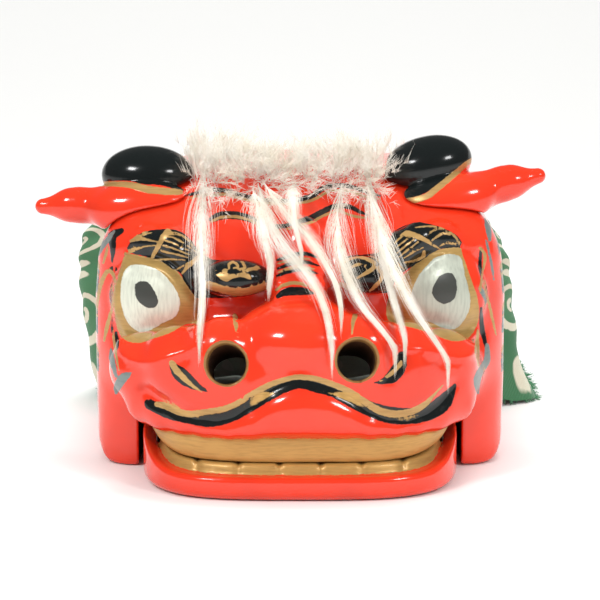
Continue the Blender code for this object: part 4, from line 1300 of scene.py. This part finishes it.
def peg(name, side, material):
    middle = side * (PEG_INNER_X + PEG_OUTER_X) / 2 * MM
    deselect_all()
    bpy.ops.mesh.primitive_cylinder_add(
        vertices=48, radius=PEG_RADIUS * MM, depth=(PEG_OUTER_X - PEG_INNER_X) * MM,
        location=(middle, HINGE[0] * MM, HINGE[1] * MM), rotation=(0.0, math.pi / 2, 0.0),
    )
    made = bpy.context.object
    made.name = name
    rounding = made.modifiers.new("worn edge", "BEVEL")
    rounding.width, rounding.segments = 0.6 * MM, 3
    bpy.ops.object.modifier_apply(modifier=rounding.name)
    bpy.ops.object.shade_smooth()
    made.data.materials.append(material)
    return settled(made)


peg_wood = dark_wood()
for side, node in ((-1.0, "jaw_peg_left"), (1.0, "jaw_peg_right")):
    made = peg(node + "_dowel", side, peg_wood)
    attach(made, "head")
    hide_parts(node)
print("two dowels of radius", PEG_RADIUS)

# %% [markdown]
# ## The ears
#
# Each ear is a long red leaf that lies along the crown's edge, with a black dome on top of it at its
# root. A gold band parts the two. The underside that lies on the crown is cut to the crown's form.

# %% The ears' clay
EARS = {
    "ear_left": (-1.0, (-68.0, -6.0, 143.5), 1.0, 0.0, ((-170, -42, 110), (-46, 40, 192))),
    "ear_right": (1.0, (60.0, -6.0, 140.5), 16.0, 4.0, ((36, -42, 112), (160, 40, 200))),
}
EAR_GAP = 0.9


def placed(form, root, side, tilt):
    """A form that lies along +X, put at a root on one side of the head and tilted up."""
    cos_tilt, sin_tilt = math.cos(math.radians(tilt)), math.sin(math.radians(tilt))

    def field(x, y, z):
        out, up = side * (x - root[0]), z - root[2]
        along, lift = out * cos_tilt + up * sin_tilt, up * cos_tilt - out * sin_tilt
        return form(along, y - root[1], lift)

    return field


def ear_forms(dome_lift):
    """An ear along +X from its root: the leaf in four pieces, then the dome."""
    return [
        (ball((20, 0, 0), (34, 18, 15)), 1.0),
        (ball((20, -13, 1), (33, 15, 17)), 6.0),
        (rod((34, -3, 2.0), (64, -4, 2.0), 11.5, 9.5), 6.0),
        (rod((60, -4, 2.0), (80, -4, 1.0), 9.0, 4.5), 5.0),
        (ball((20, 5, 19 + dome_lift), (27, 20, 17)), 1.5),
    ]


def ear_clay(side, root, tilt, dome_lift, box):
    clay = Clay(*box, 1.0)
    for form, blend in ear_forms(dome_lift):
        clay.join(placed(form, root, side, tilt), blend)
    clay.field += 0.7 * hand_cut(*clay.everywhere())
    clay.cut(lambda x, y, z: crown(x, y, z) - EAR_GAP, 3.0)
    clay.settle()
    return clay


EAR_DOMES = {
    "ear_left": [
        (92, 183), (90, 168), (98, 150), (114, 138), (135, 132), (152, 131), (170, 133), (186, 142),
        (196, 158), (197, 178), (182, 191), (168, 187), (158, 185), (142, 184), (130, 181), (113, 181),
    ],
    "ear_right": [
        (384, 192), (386, 166), (394, 142), (408, 127), (436, 122), (466, 132), (482, 152), (473, 158),
        (463, 164), (453, 173), (443, 181), (433, 188), (424, 194), (411, 198), (400, 200), (390, 200),
    ],
}
EAR_GOLD = {
    "ear_left": [(97, 184, 2), (114, 184, 2.6), (130, 185, 3.2), (146, 189, 3.6), (162, 191, 3.6),
                 (180, 192, 3)],
    "ear_right": [(392, 203, 2.4), (404, 202, 3), (415, 200, 3.2), (427, 196, 3.2), (437, 188.5, 3.2),
                  (448, 179.5, 3), (458, 171, 2.8), (467, 163.5, 2.4), (477, 156, 2)],
}


def ear_paint_of(name, clay):
    def paint(points):
        hidden = 60.0 * (-0.1 - turned_to_view(clay.slopes(points)))
        made = Paint(in_photo(points), np.maximum(hidden, -FAR))
        made.area("black", EAR_DOMES[name])
        made.stroke("gold", EAR_GOLD[name])
        return made.finished()
    return paint


def make_ear(name):
    clay = ear_clay(*EARS[name])
    paint = ear_paint_of(name, clay)
    made = clay_piece(name + "_carved", clay)
    divide_where(made, clay, turning(clay, 0.3, 1.2))
    divide_where(made, clay, near_paint_of(paint, 1.0))
    divide_where(made, clay, near_paint_of(paint, 0.6))
    wear_paint(made, paint)
    shade_from_clay(made, clay)
    made.data.materials.append(lacquer("red_lacquer_" + name, RED, {"black", "gold"}))
    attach(made, "head")
    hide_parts(name)
    return made


for name in EARS:
    ear = make_ear(name)
    print(name, "has", triangles_of(ear), "triangles")

# %% [markdown]
# ## Down and feathers
#
# White down covers the crown between the ears, and long soft feathers fall from it over the face. A
# barb is a closed thread with three sides that tapers to a point, so that it has only a few faces
# and still catches the light like a real one. Down is many barbs that fan out from small quills.

# %% Barbs as threads
rng = np.random.default_rng(20)
THREAD_SIDES = 3


def threads(name, paths, half_widths, material):
    """One mesh of many threads. Each path is a row of points, and its half widths follow them."""
    count, rings, _ = paths.shape
    ahead = np.gradient(paths, axis=1)
    ahead /= np.maximum(np.linalg.norm(ahead, axis=2, keepdims=True), 1e-9)
    helper = np.where(np.abs(ahead[..., 1:2]) > 0.8, np.array([1.0, 0.0, 0.0]), np.array([0.0, 1.0, 0.0]))
    side = np.cross(ahead, helper)
    side /= np.maximum(np.linalg.norm(side, axis=2, keepdims=True), 1e-9)
    other = np.cross(ahead, side)
    corners = []
    for k in range(THREAD_SIDES):
        angle = 2 * math.pi * k / THREAD_SIDES
        offset = math.cos(angle) * side + math.sin(angle) * other
        corners.append(paths + offset * half_widths[..., None])
    points = np.stack(corners, axis=2).reshape(-1, 3)
    ring = np.arange(count * rings * THREAD_SIDES).reshape(count, rings, THREAD_SIDES)
    here, after = ring[:, :-1], ring[:, 1:]
    walls = np.stack([here, np.roll(here, -1, 2), np.roll(after, -1, 2), after], axis=-1).reshape(-1, 4)
    ends = np.vstack([ring[:, 0, ::-1], ring[:, -1]])
    faces = walls.tolist() + ends.tolist()
    mesh = bpy.data.meshes.new(name)
    mesh.from_pydata((points * MM).tolist(), [], faces)
    mesh.polygons.foreach_set("use_smooth", np.ones(len(mesh.polygons), bool))
    made = bpy.data.objects.new(name, mesh)
    bpy.context.scene.collection.objects.link(made)
    mesh.materials.append(material)
    return made


print("a thread of 6 rings has", 5 * THREAD_SIDES + 2, "faces")

# %% [markdown]
# A feather's quill is drawn from the front and hung in front of the carving below it, like a line
# that is pulled tight over the nose and brows. Its barbs leave it at a narrow angle and lie almost
# along it. Near the crown they are long, loose and fluffy, and lower down they close to a blade.

# %% Long feathers
FEATHERS = {
    "feather_1": (4.5, [(-55, 170), (-55, 158), (-55, 142), (-54, 126), (-53, 108), (-54, 92)]),
    "feather_2": (4.5, [(-24, 160), (-17, 146), (-9, 134), (3, 122), (11, 111), (15, 100), (17, 88)]),
    "feather_3": (4.5, [(24, 160), (21, 146), (21, 132), (26, 119), (33, 106), (43, 96), (51, 86)]),
    "feather_4": (4.5, [(40, 164), (42, 150), (44, 136), (47, 121), (51, 108), (56, 91)]),
    "feather_5": (3.5, [(-20, 162), (-6, 149), (5, 139), (14, 127), (20, 116), (22, 106)]),
    "feather_6": (4.0, [(38, 162), (44, 141), (51, 124), (61, 106), (71, 92), (79, 80)]),
    "feather_7": (3.0, [(-4, 160), (-3, 148), (-1, 140), (1, 132)]),
    "feather_8": (4.5, [(-26, 160), (-22, 148), (-19, 136), (-16, 126), (-17, 114)]),
}
FEATHER_LIFT = 2.7
BARB_RINGS = 5
BARBS_PER_FEATHER = 400


def front_of(clay):
    """Where the clay's front surface is at each x and z of its grid, and where it has none, its back."""
    inside = clay.field < 0.0
    first = inside.argmax(axis=1)
    return np.where(inside.any(axis=1), clay.axes[1][first], 1e3)


def hanging(needed):
    """A line pulled tight in front of the carving, which then hangs straight down."""
    limit = np.minimum.accumulate(needed)
    line = limit.copy()
    for _ in range(200):
        line[1:-1] = np.minimum(limit[1:-1], (line[:-2] + line[2:]) / 2)
    return line


def hung_quill(fronts, width, line):
    path = curve_points(line, 8)
    under = [
        np.ix_(np.abs(clay_head.axes[0] - x) < width + 1.5, np.abs(clay_head.axes[2] - z) < 3.0)
        for x, z in path
    ]
    depth = hanging(np.array([min(fronts[place].min(), 6.0) - FEATHER_LIFT for place in under]))
    for y, place in zip(depth, under):
        fronts[place] = np.minimum(fronts[place], y)
    return np.stack([path[:, 0], depth, path[:, 1]], axis=1)


def along_path(path, share):
    """Points at these shares of a path's length."""
    steps = np.linalg.norm(np.diff(path, axis=0), axis=1)
    length = np.concatenate([[0.0], np.cumsum(steps)])
    place = share * length[-1]
    return np.stack([np.interp(place, length, path[:, k]) for k in range(3)], axis=-1), length[-1]


def feather_barbs(quill, width, count):
    """Paths and half widths of a feather's barbs."""
    start = rng.uniform(0.0, 0.93, count) ** 0.9
    side = rng.choice([-1.0, 1.0], count)
    total = along_path(quill, np.array([0.0]))[1]
    reach = np.where(start < 0.45, 0.48, 0.34) * rng.uniform(0.7, 1.2, count)
    loose = np.clip(1.0 - start / 0.5, 0.0, 1.0)
    spread = width * (0.34 + 1.5 * loose) * rng.uniform(0.1, 1.25, count)
    spread *= np.clip((1.02 - start) / 0.35, 0.15, 1.0)
    share = np.linspace(0.0, 1.0, BARB_RINGS)
    paths = np.empty((count, BARB_RINGS, 3))
    wave = rng.uniform(-1.0, 1.0, count) * (0.4 + 1.6 * loose)
    lift = rng.uniform(-1.0, 0.7, count) * (0.3 + 2.2 * loose)
    for k, t in enumerate(share):
        place = np.clip(start + reach * t, 0.0, 1.0)
        point, _ = along_path(quill, place)
        beyond = np.maximum(start + reach * t - 1.0, 0.0) * total
        out = side * spread * np.sin(t * math.pi * 0.62) / math.sin(0.62 * math.pi)
        point[:, 0] += out + wave * np.sin(t * 4.0)
        point[:, 1] += lift * t
        point[:, 2] -= beyond * 0.4
        paths[:, k] = point
    widths = np.outer(rng.uniform(0.08, 0.15, count), 1.0 - 0.85 * share ** 1.5)
    return paths, widths


def quill_thread(quill):
    share = np.linspace(0.0, 1.0, 24)
    path, _ = along_path(quill, share)
    return path[None], (0.42 * (1.0 - share) + 0.10)[None]


def feather_white(name, alpha):
    made = new_material(name, (0.97, 0.95, 0.88), 0.8)
    nodes, shader = Nodes(made.node_tree), shader_of(made)
    tone = nodes.between(nodes.noise(70.0, 3.0), 0.35, 0.65)
    nodes.put(shader.inputs["Base Color"], nodes.mix(tone, (0.88, 0.83, 0.72), (0.98, 0.96, 0.90)))
    shader.inputs["Alpha"].default_value = alpha
    shader.inputs["Specular IOR Level"].default_value = 0.1
    # A faint cream glow, which is painted light: it brightens the white barbs beyond what the lamps give
    # them.
    shader.inputs["Emission Color"].default_value = (1.0, 0.97, 0.90, 1.0)
    shader.inputs["Emission Strength"].default_value = 0.07
    return made


white = feather_white("white_feather", 0.52)
down_white = feather_white("white_down", 0.64)
fronts = front_of(clay_head)
for name, (width, line) in FEATHERS.items():
    quill = hung_quill(fronts, width, line)
    barbs = threads(name + "_barbs", *feather_barbs(quill, width, BARBS_PER_FEATHER), white)
    rachis = threads(name + "_quill", *quill_thread(quill), white)
    for made in (barbs, rachis):
        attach(made, "head")
    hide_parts(name)
print(len(FEATHERS), "feathers of", BARBS_PER_FEATHER, "barbs")

# %% [markdown]
# The down is a crowd of small plumes. Each plume is rooted on the crown, rises and leans away from
# the middle of its clump, and droops at its end. Its barbs leave the stem at all sides, and are
# drawn in where they would cross the ears' domes. One mesh of that many barbs would be very heavy,
# so the left and the right half are two pieces.

# %% Down on the crown
DOWN_CLUMPS = [
    ((-54.0, -1.0), (9.0, 13.0), 40.0, 112),
    ((-28.0, -3.0), (15.0, 13.0), 29.0, 128),
    ((0.0, -3.0), (16.0, 13.0), 26.0, 92),
    ((25.0, -3.0), (14.0, 13.0), 32.0, 80),
    ((42.0, -2.0), (8.0, 13.0), 33.0, 74),
]
BARBS_PER_PLUME = 30
LEFT_DOME_X, RIGHT_DOME_X = -58.0, 52.0


def roof_of(clay):
    """The height of the clay's upper surface over each x and y of its grid."""
    top = (clay.field < 0.0)[:, :, ::-1].argmax(axis=2)
    return clay.axes[2][len(clay.axes[2]) - 1 - top]


def roof_at(x, y):
    columns = [np.clip(np.rint((v - low) / HEAD_STEP).astype(int), 0, count - 1)
               for v, low, count in zip((x, y), clay_head.low, CROWN_ROOF.shape)]
    return CROWN_ROOF[tuple(columns)]


CROWN_ROOF = roof_of(clay_head)


def plume_barbs(root, lean, height):
    """The paths of one plume's barbs."""
    tall = height * rng.uniform(0.55, 1.0)
    forward = min(lean[1], 0.0)
    stem_way = np.array((lean[0] * 0.34, lean[1] * 0.5 - 0.2, 1.0 + 0.75 * forward))
    stem_way += rng.normal(size=3) * 0.16
    stem_way /= np.linalg.norm(stem_way)
    start = rng.uniform(0.05, 0.95, BARBS_PER_PLUME)[:, None]
    droop = np.array((lean[0] * 0.25, lean[1] * 0.45 - 0.12, -0.30))
    base = root + stem_way * tall * start + droop * tall * start ** 2
    out = rng.normal(size=(BARBS_PER_PLUME, 3))
    out /= np.linalg.norm(out, axis=1, keepdims=True)
    reach = (stem_way * 0.80 + out * 0.45) * rng.uniform(5.0, 11.5, (BARBS_PER_PLUME, 1))
    bend = rng.normal(size=(BARBS_PER_PLUME, 3)) * 0.9 + droop * 3.5
    share = np.linspace(0.0, 1.0, BARB_RINGS)[None, :, None]
    paths = base[:, None] + reach[:, None] * share + bend[:, None] * share ** 2
    x = paths[..., 0]
    x += 0.65 * np.maximum(LEFT_DOME_X - x, 0.0) - 0.45 * np.maximum(x - RIGHT_DOME_X, 0.0)
    roof = roof_at(paths[..., 0], paths[..., 1]) + 0.4 + 1.6 * share[..., 0]
    paths[..., 2] = np.maximum(paths[..., 2], roof)
    return paths


def down_piece(name, clumps):
    paths = []
    for (x, y), spread, height, number in clumps:
        for _ in range(number):
            lean = np.clip(rng.normal(size=2) * 0.62, -1.25, 1.25)
            root = np.array((x + lean[0] * spread[0], y + lean[1] * spread[1], 0.0))
            root[2] = roof_at(root[0], root[1]) + 0.5
            paths.append(plume_barbs(root, lean, height))
    paths = np.vstack(paths)
    share = np.linspace(0.0, 1.0, BARB_RINGS)
    widths = rng.uniform(0.09, 0.17, (len(paths), 1)) * (1.0 - 0.8 * share ** 1.5)
    made = threads(name, paths, widths, down_white)
    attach(made, "head")
    return made


down = down_piece("feather_down_barbs", DOWN_CLUMPS[:2])
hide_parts("feather_down")
down_right = down_piece("feather_down_barbs_right", DOWN_CLUMPS[2:])
print("the down has", [triangles_of(piece) for piece in (down, down_right)], "triangles")

# %% [markdown]
# ## The cloth
#
# A green cotton cloth with a vine print is gathered along the rear rim of the head and falls to the
# table behind it. A sheet bent by hand looks like tin, so this one is simulated. It is cut flat and
# wider than the rim, its upper edge is pinned round the rim and its hem is laid on the table, and
# its own fullness then makes the folds. The starting shape is a loft between rim and hem.

# %% The cape's starting shape
CAPE_ROWS, CAPE_COLUMNS = 40, 150
# The half width of the cape on each side, at heights above the table
CAPE_LEFT = [
    (0, 128), (12, 131), (24, 134), (37, 136), (53, 138), (75, 143), (111, 151), (125, 146), (159, 130),
]
CAPE_RIGHT = [
    (0, 152), (3, 148), (8, 144), (24, 142), (34, 140), (50, 138.5), (63, 137), (72, 137), (95, 139),
    (118, 136), (159, 124),
]


def ease(value, start, end):
    share = np.clip((value - start) / (end - start), 0.0, 1.0)
    return share * share * (3.0 - 2.0 * share)


def cape_loft():
    """Rows of points from the rear rim to the hem, each from the left foot over the top to the right."""
    across = np.linspace(-1.0, 1.0, CAPE_COLUMNS + 1)[None, :]
    back = np.linspace(0.0, 1.0, CAPE_ROWS + 1)[:, None]
    fall, spread = ease(back, 0.10, 0.86), ease(back, 0.0, 0.2)
    power = 3.8 - 1.2 * fall
    angle = math.pi / 2 * (1.0 - across)
    cos_angle, sin_angle = np.cos(angle), np.maximum(np.sin(angle), 0.0)
    low = 20.0 - 18.5 * ease(back, 0.0, 0.12)
    z = low + (159.0 - 156.0 * fall - low) * sin_angle ** (2 / power)
    arch = np.sign(cos_angle) * np.abs(cos_angle) ** (2 / power)
    widths = [np.interp(z, *np.array(side, float).T) for side in (CAPE_LEFT, CAPE_RIGHT)]
    half = 111.0 + spread * (np.where(arch < 0.0, *widths) - 111.0)
    x = arch * half
    slope = ease(np.abs(across), 0.55, 1.0)
    y = 101.3 + 104.0 * back + 22.0 * slope * back
    return np.stack(np.broadcast_arrays(x, y, z), axis=-1)


def row_lengths(loft, axis):
    return np.linalg.norm(np.diff(loft, axis=axis), axis=2).sum(axis=axis)


loft = cape_loft()
print("rim and hem:", row_lengths(loft, 1)[[0, -1]].round(), "mm")
print("columns:", row_lengths(loft, 0)[::30].round(), "mm")

# %% [markdown]
# The cut is a fan: each row is the loft's row made fuller, and each column is a little longer than
# the loft's. The photograph doesn't show the cut, so the fullness is a choice.

# %% The cut cloth
RIM_FULLNESS, HEM_FULLNESS, COLUMN_FULLNESS = 1.15, 1.10, 1.04
SIM_SCALE = 5.0
CLOTH_FRAMES = 60


def flat_cut(loft):
    """Where each point of the cloth lies when it is spread out flat, in the carver's millimetres."""
    rows = np.linspace(0.0, 1.0, CAPE_ROWS + 1)
    widths = row_lengths(loft, 1) * (RIM_FULLNESS + (HEM_FULLNESS - RIM_FULLNESS) * rows)
    widths = np.convolve(np.pad(widths, 6, mode="edge"), np.ones(13) / 13, mode="valid")
    steps = np.linalg.norm(np.diff(loft, axis=0), axis=2).mean(axis=1)
    down = np.concatenate([[0.0], np.cumsum(steps)]) * COLUMN_FULLNESS
    across = np.linspace(-0.5, 0.5, CAPE_COLUMNS + 1)
    return np.stack([across[None, :] * widths[:, None], -down[:, None] + 0.0 * across[None, :]], axis=-1)


flat = flat_cut(loft)
number = np.arange(flat.shape[0] * flat.shape[1]).reshape(flat.shape[:2])
quads = np.stack([number[:-1, :-1], number[:-1, 1:], number[1:, 1:], number[1:, :-1]], axis=-1)
quads = quads.reshape(-1, 4)


def sheet_object(name, points):
    mesh = bpy.data.meshes.new(name)
    mesh.from_pydata(points.reshape(-1, 3).tolist(), [], quads.tolist())
    made = bpy.data.objects.new(name, mesh)
    bpy.context.scene.collection.objects.link(made)
    return made


def give_uv(item, places):
    corners = np.empty(len(item.data.loops), np.int32)
    item.data.loops.foreach_get("vertex_index", corners)
    layer = item.data.uv_layers.new(name="flat")
    layer.data.foreach_set("uv", places.reshape(-1, 2)[corners].ravel())


def pins(item):
    """Full pins at rim and hem, a faint pull everywhere, and a firmer one on ridges down the sides."""
    back = np.linspace(0.0, 1.0, CAPE_ROWS + 1)[:, None]
    across = np.linspace(-1.0, 1.0, CAPE_COLUMNS + 1)[None, :]
    sides = ease(np.abs(across), 0.35, 0.5) * ease(back, 0.06, 0.16) * (1.0 - ease(back, 0.35, 0.7))
    ridges = 0.5 + 0.5 * np.sin(2 * math.pi * 9.5 * across)
    weight = 0.03 + 0.10 * sides + 0.60 * sides * ridges ** 3
    weight[[0, -2, -1]] = 1.0
    hold = item.vertex_groups.new(name="hold")
    for point, share in zip(number.ravel().tolist(), weight.ravel().tolist()):
        hold.add([point], share, "REPLACE")
    return hold.name


def collider(item, friction=20.0):
    item.modifiers.new("stop", "COLLISION")
    item.collision.thickness_outer = 0.004
    item.collision.cloth_friction = friction
    return item


def simulate_cape():
    """The cape's points after the cloth has settled, in the carver's millimetres."""
    start = loft.copy()
    wave = np.linspace(0.0, 1.0, CAPE_COLUMNS + 1)[None, :] * 2 * math.pi
    back = np.linspace(0.0, 1.0, CAPE_ROWS + 1)[:, None]
    push = ease(back, 0.02, 0.3)
    start[..., 1] += (push * (1.5 * np.sin(19 * wave + 2.0) + 1.2 * np.sin(11 * wave))
                      + ease(back, 0.6, 1.0) * 4.0 * np.sin(7 * wave + 1.0))
    start[..., 0] += push * 1.2 * np.sin(23 * wave + 1.0) * np.sign(start[..., 0])
    start[-2:, :, 2] = np.maximum(start[-2:, :, 2], 1.0)
    item = sheet_object("cape_at_work", start * MM * SIM_SCALE)
    item.shape_key_add(name="start")
    cut = item.shape_key_add(name="cut")
    spread = np.zeros((*flat.shape[:2], 3))
    spread[..., 0], spread[..., 2] = flat[..., 0], flat[..., 1]
    cut.data.foreach_set("co", (spread * MM * SIM_SCALE).ravel())
    hold = pins(item)
    bpy.ops.mesh.primitive_plane_add(size=6.0, location=(0.0, 0.5, 0.0))
    floor = collider(bpy.context.object)
    cloth = item.modifiers.new("cloth", "CLOTH")
    settings = cloth.settings
    settings.quality = 6
    settings.mass = 0.25
    settings.tension_stiffness = settings.compression_stiffness = 60.0
    settings.shear_stiffness = 8.0
    settings.bending_stiffness = 1.2
    settings.air_damping = 3.0
    settings.vertex_group_mass = hold
    settings.pin_stiffness = 1.0
    settings.rest_shape_key = cut
    cloth.collision_settings.distance_min = 0.006
    cloth.collision_settings.use_self_collision = False
    cloth.point_cache.frame_start, cloth.point_cache.frame_end = 1, CLOTH_FRAMES
    scene = bpy.context.scene
    for frame_number in range(1, CLOTH_FRAMES + 1):
        scene.frame_set(frame_number)
    result = item.evaluated_get(bpy.context.evaluated_depsgraph_get())
    points = np.empty(len(item.data.vertices) * 3)
    result.data.vertices.foreach_get("co", points)
    scene.frame_set(1)
    for helper in (item, floor):
        bpy.data.objects.remove(helper)
    return points.reshape(flat.shape[0], flat.shape[1], 3) / SIM_SCALE / MM


settled_cape = simulate_cape()
cape = sheet_object("cape", settled_cape * MM)
give_uv(cape, flat * MM)
select_only(cape)
smooth = cape.modifiers.new("fine", "SUBSURF")
smooth.levels = smooth.render_levels = 1
smooth.boundary_smooth = "PRESERVE_CORNERS"
bpy.ops.object.modifier_apply(modifier=smooth.name)
bpy.ops.object.shade_smooth()

# %% [markdown]
# The print is an old and common one: vine scrolls in cream on green. Each tile of the flat cloth
# holds one scroll, which is a spiral in polar coordinates, and a wavy stem joins the scrolls. The
# reverse is white with the print showing through faintly, which Backfacing tells apart.

# %% Printed cotton
SCROLL_TILE = 0.062


def vine_print():
    """A node group: where the cream of the print lies, from the cloth's flat place in metres."""
    group = bpy.data.node_groups.new("vine_print", "ShaderNodeTree")
    group.interface.new_socket(name="Place", in_out="INPUT", socket_type="NodeSocketVector")
    group.interface.new_socket(name="Tile", in_out="INPUT", socket_type="NodeSocketFloat")
    group.interface.new_socket(name="Cream", in_out="OUTPUT", socket_type="NodeSocketFloat")
    nodes = Nodes(group)
    given = nodes.add("NodeGroupInput")
    parts = nodes.add("ShaderNodeSeparateXYZ", {"Vector": given.outputs["Place"]})
    across = nodes.calculate("DIVIDE", parts.outputs[0], given.outputs["Tile"])
    along = nodes.calculate("DIVIDE", parts.outputs[1], given.outputs["Tile"])
    row = nodes.calculate("FLOOR", along)
    odd = nodes.calculate("FLOORED_MODULO", row, 2.0)
    shifted = nodes.calculate("MULTIPLY_ADD", odd, 0.5, across)
    u = nodes.calculate("SUBTRACT", nodes.calculate("FRACT", shifted), 0.5)
    v = nodes.calculate("SUBTRACT", nodes.calculate("FRACT", along), 0.5)
    turn_way = nodes.calculate("MULTIPLY_ADD", odd, -2.0, 1.0)
    radius = nodes.length(u, v)
    angle = nodes.calculate("ARCTAN2", v, nodes.calculate("MULTIPLY", u, turn_way))
    turns = nodes.calculate("MULTIPLY", radius, 6.0)
    arm = nodes.calculate("MULTIPLY_ADD", angle, 1.0 / (2.0 * math.pi), turns)
    from_arm = nodes.apart(nodes.calculate("FRACT", arm), 0.5)
    scroll = nodes.between(from_arm, 0.20, 0.16)
    scroll = nodes.calculate("MULTIPLY", scroll, nodes.between(radius, 0.30, 0.28))
    wave = nodes.calculate("SINE", nodes.calculate("MULTIPLY", shifted, 2.0 * math.pi))
    stem_place = nodes.calculate("ADD", nodes.calculate("MULTIPLY", wave, 0.10), 0.44)
    from_stem = nodes.apart(nodes.calculate("ABSOLUTE", v), stem_place)
    stem = nodes.between(from_stem, 0.032, 0.02)
    leaf_u = nodes.calculate("SUBTRACT", nodes.calculate("ABSOLUTE", u), 0.42)
    leaf = nodes.length(nodes.calculate("MULTIPLY", leaf_u, 2.2), v)
    leaves = nodes.between(leaf, 0.13, 0.11)
    cream = nodes.calculate("MAXIMUM", nodes.calculate("MAXIMUM", scroll, stem), leaves)
    nodes.add("NodeGroupOutput", {"Cream": cream})
    return group


def printed_cotton():
    made = new_material("printed_cotton", (0.05, 0.22, 0.10), 0.88)
    nodes, shader = Nodes(made.node_tree), shader_of(made)
    flat_place = nodes.add("ShaderNodeUVMap", uv_map="flat").outputs[0]
    bleed = nodes.add("ShaderNodeTexNoise", {"Vector": flat_place, "Scale": 260.0, "Detail": 3.0})
    ragged = nodes.add("ShaderNodeVectorMath", {0: bleed.outputs["Color"], 1: (0.0016, 0.0016, 0.0)},
                       operation="MULTIPLY").outputs[0]
    place = nodes.add("ShaderNodeVectorMath", {0: flat_place, 1: ragged}, operation="ADD").outputs[0]
    printed = nodes.add("ShaderNodeGroup", node_tree=VINE)
    nodes.put(printed.inputs["Place"], place)
    printed.inputs["Tile"].default_value = SCROLL_TILE
    thread = {"Vector": flat_place, "Scale": 620.0, "Distortion": 0.6}
    warp = nodes.add("ShaderNodeTexWave", thread, bands_direction="X")
    weft = nodes.add("ShaderNodeTexWave", thread, bands_direction="Y")
    weave = nodes.calculate("MULTIPLY", warp.outputs[1], weft.outputs[1])
    fade = nodes.between(nodes.noise(18.0, 3.0, source=flat_place), 0.3, 0.7)
    green = nodes.mix(fade, (0.045, 0.165, 0.075), (0.085, 0.235, 0.115))
    green = nodes.mix(nodes.between(weave, 0.0, 0.6, 0.25, 0.0), green, (0.02, 0.085, 0.035))
    front = nodes.mix(printed.outputs["Cream"], green, (0.60, 0.58, 0.45))
    through = nodes.calculate("MULTIPLY", nodes.calculate("SUBTRACT", 1.0, printed.outputs["Cream"]), 0.30)
    reverse = nodes.mix(through, (0.72, 0.72, 0.66), (0.28, 0.45, 0.32))
    side = nodes.add("ShaderNodeNewGeometry").outputs["Backfacing"]
    nodes.put(shader.inputs["Base Color"], nodes.mix(side, front, reverse))
    nodes.put(shader.inputs["Normal"], nodes.bump(weave, 0.00015, 0.8))
    shader.inputs["Specular IOR Level"].default_value = 0.15
    shader.inputs["Sheen Weight"].default_value = 0.25
    return made


VINE = vine_print()
cape.data.materials.append(printed_cotton())
print("the print repeats every", SCROLL_TILE, "m")

# %% [markdown]
# The edges were torn, not sewn, so short green threads stand out along them.

# %% Frayed hem and the cape's place
FRAY_THREADS = 1100


def fray_paths():
    """Threads that leave the hem and the side edges, mostly straight out."""
    left, right = settled_cape[::-1, 0], settled_cape[:, -1]
    hem = np.vstack([left[:-1][::-1], settled_cape[-1], right[:-1][::-1]])
    above = np.vstack([settled_cape[:-1, 4], settled_cape[-4], settled_cape[:-1, -5][::-1]])
    place = rng.uniform(0.0, len(hem) - 1.001, FRAY_THREADS)
    low = place.astype(int)
    share = (place - low)[:, None]
    root = hem[low] * (1.0 - share) + hem[low + 1] * share
    out = root - above[low]
    out /= np.linalg.norm(out, axis=1, keepdims=True)
    reach = out * rng.uniform(1.5, 6.5, (FRAY_THREADS, 1))
    reach += rng.normal(size=(FRAY_THREADS, 3)) * np.array((1.4, 1.4, 0.8))
    t = np.linspace(0.0, 1.0, 5)[None, :, None]
    paths = root[:, None] + reach[:, None] * t + rng.normal(size=(FRAY_THREADS, 1, 3)) * 1.2 * t * t
    paths[..., 2] = np.maximum(paths[..., 2], 0.5)
    return paths


frayed = new_material("frayed_cotton", (0.07, 0.22, 0.11), 0.9)
paths = fray_paths()
fray = threads("cape_fray", paths, np.outer(np.ones(len(paths)), (0.28, 0.26, 0.22, 0.18, 0.12)), frayed)
for made in (cape, fray):
    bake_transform(made)
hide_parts("cape_cloth")
print("cape and fray:", [triangles_of(piece) for piece in (cape, fray)], "triangles")
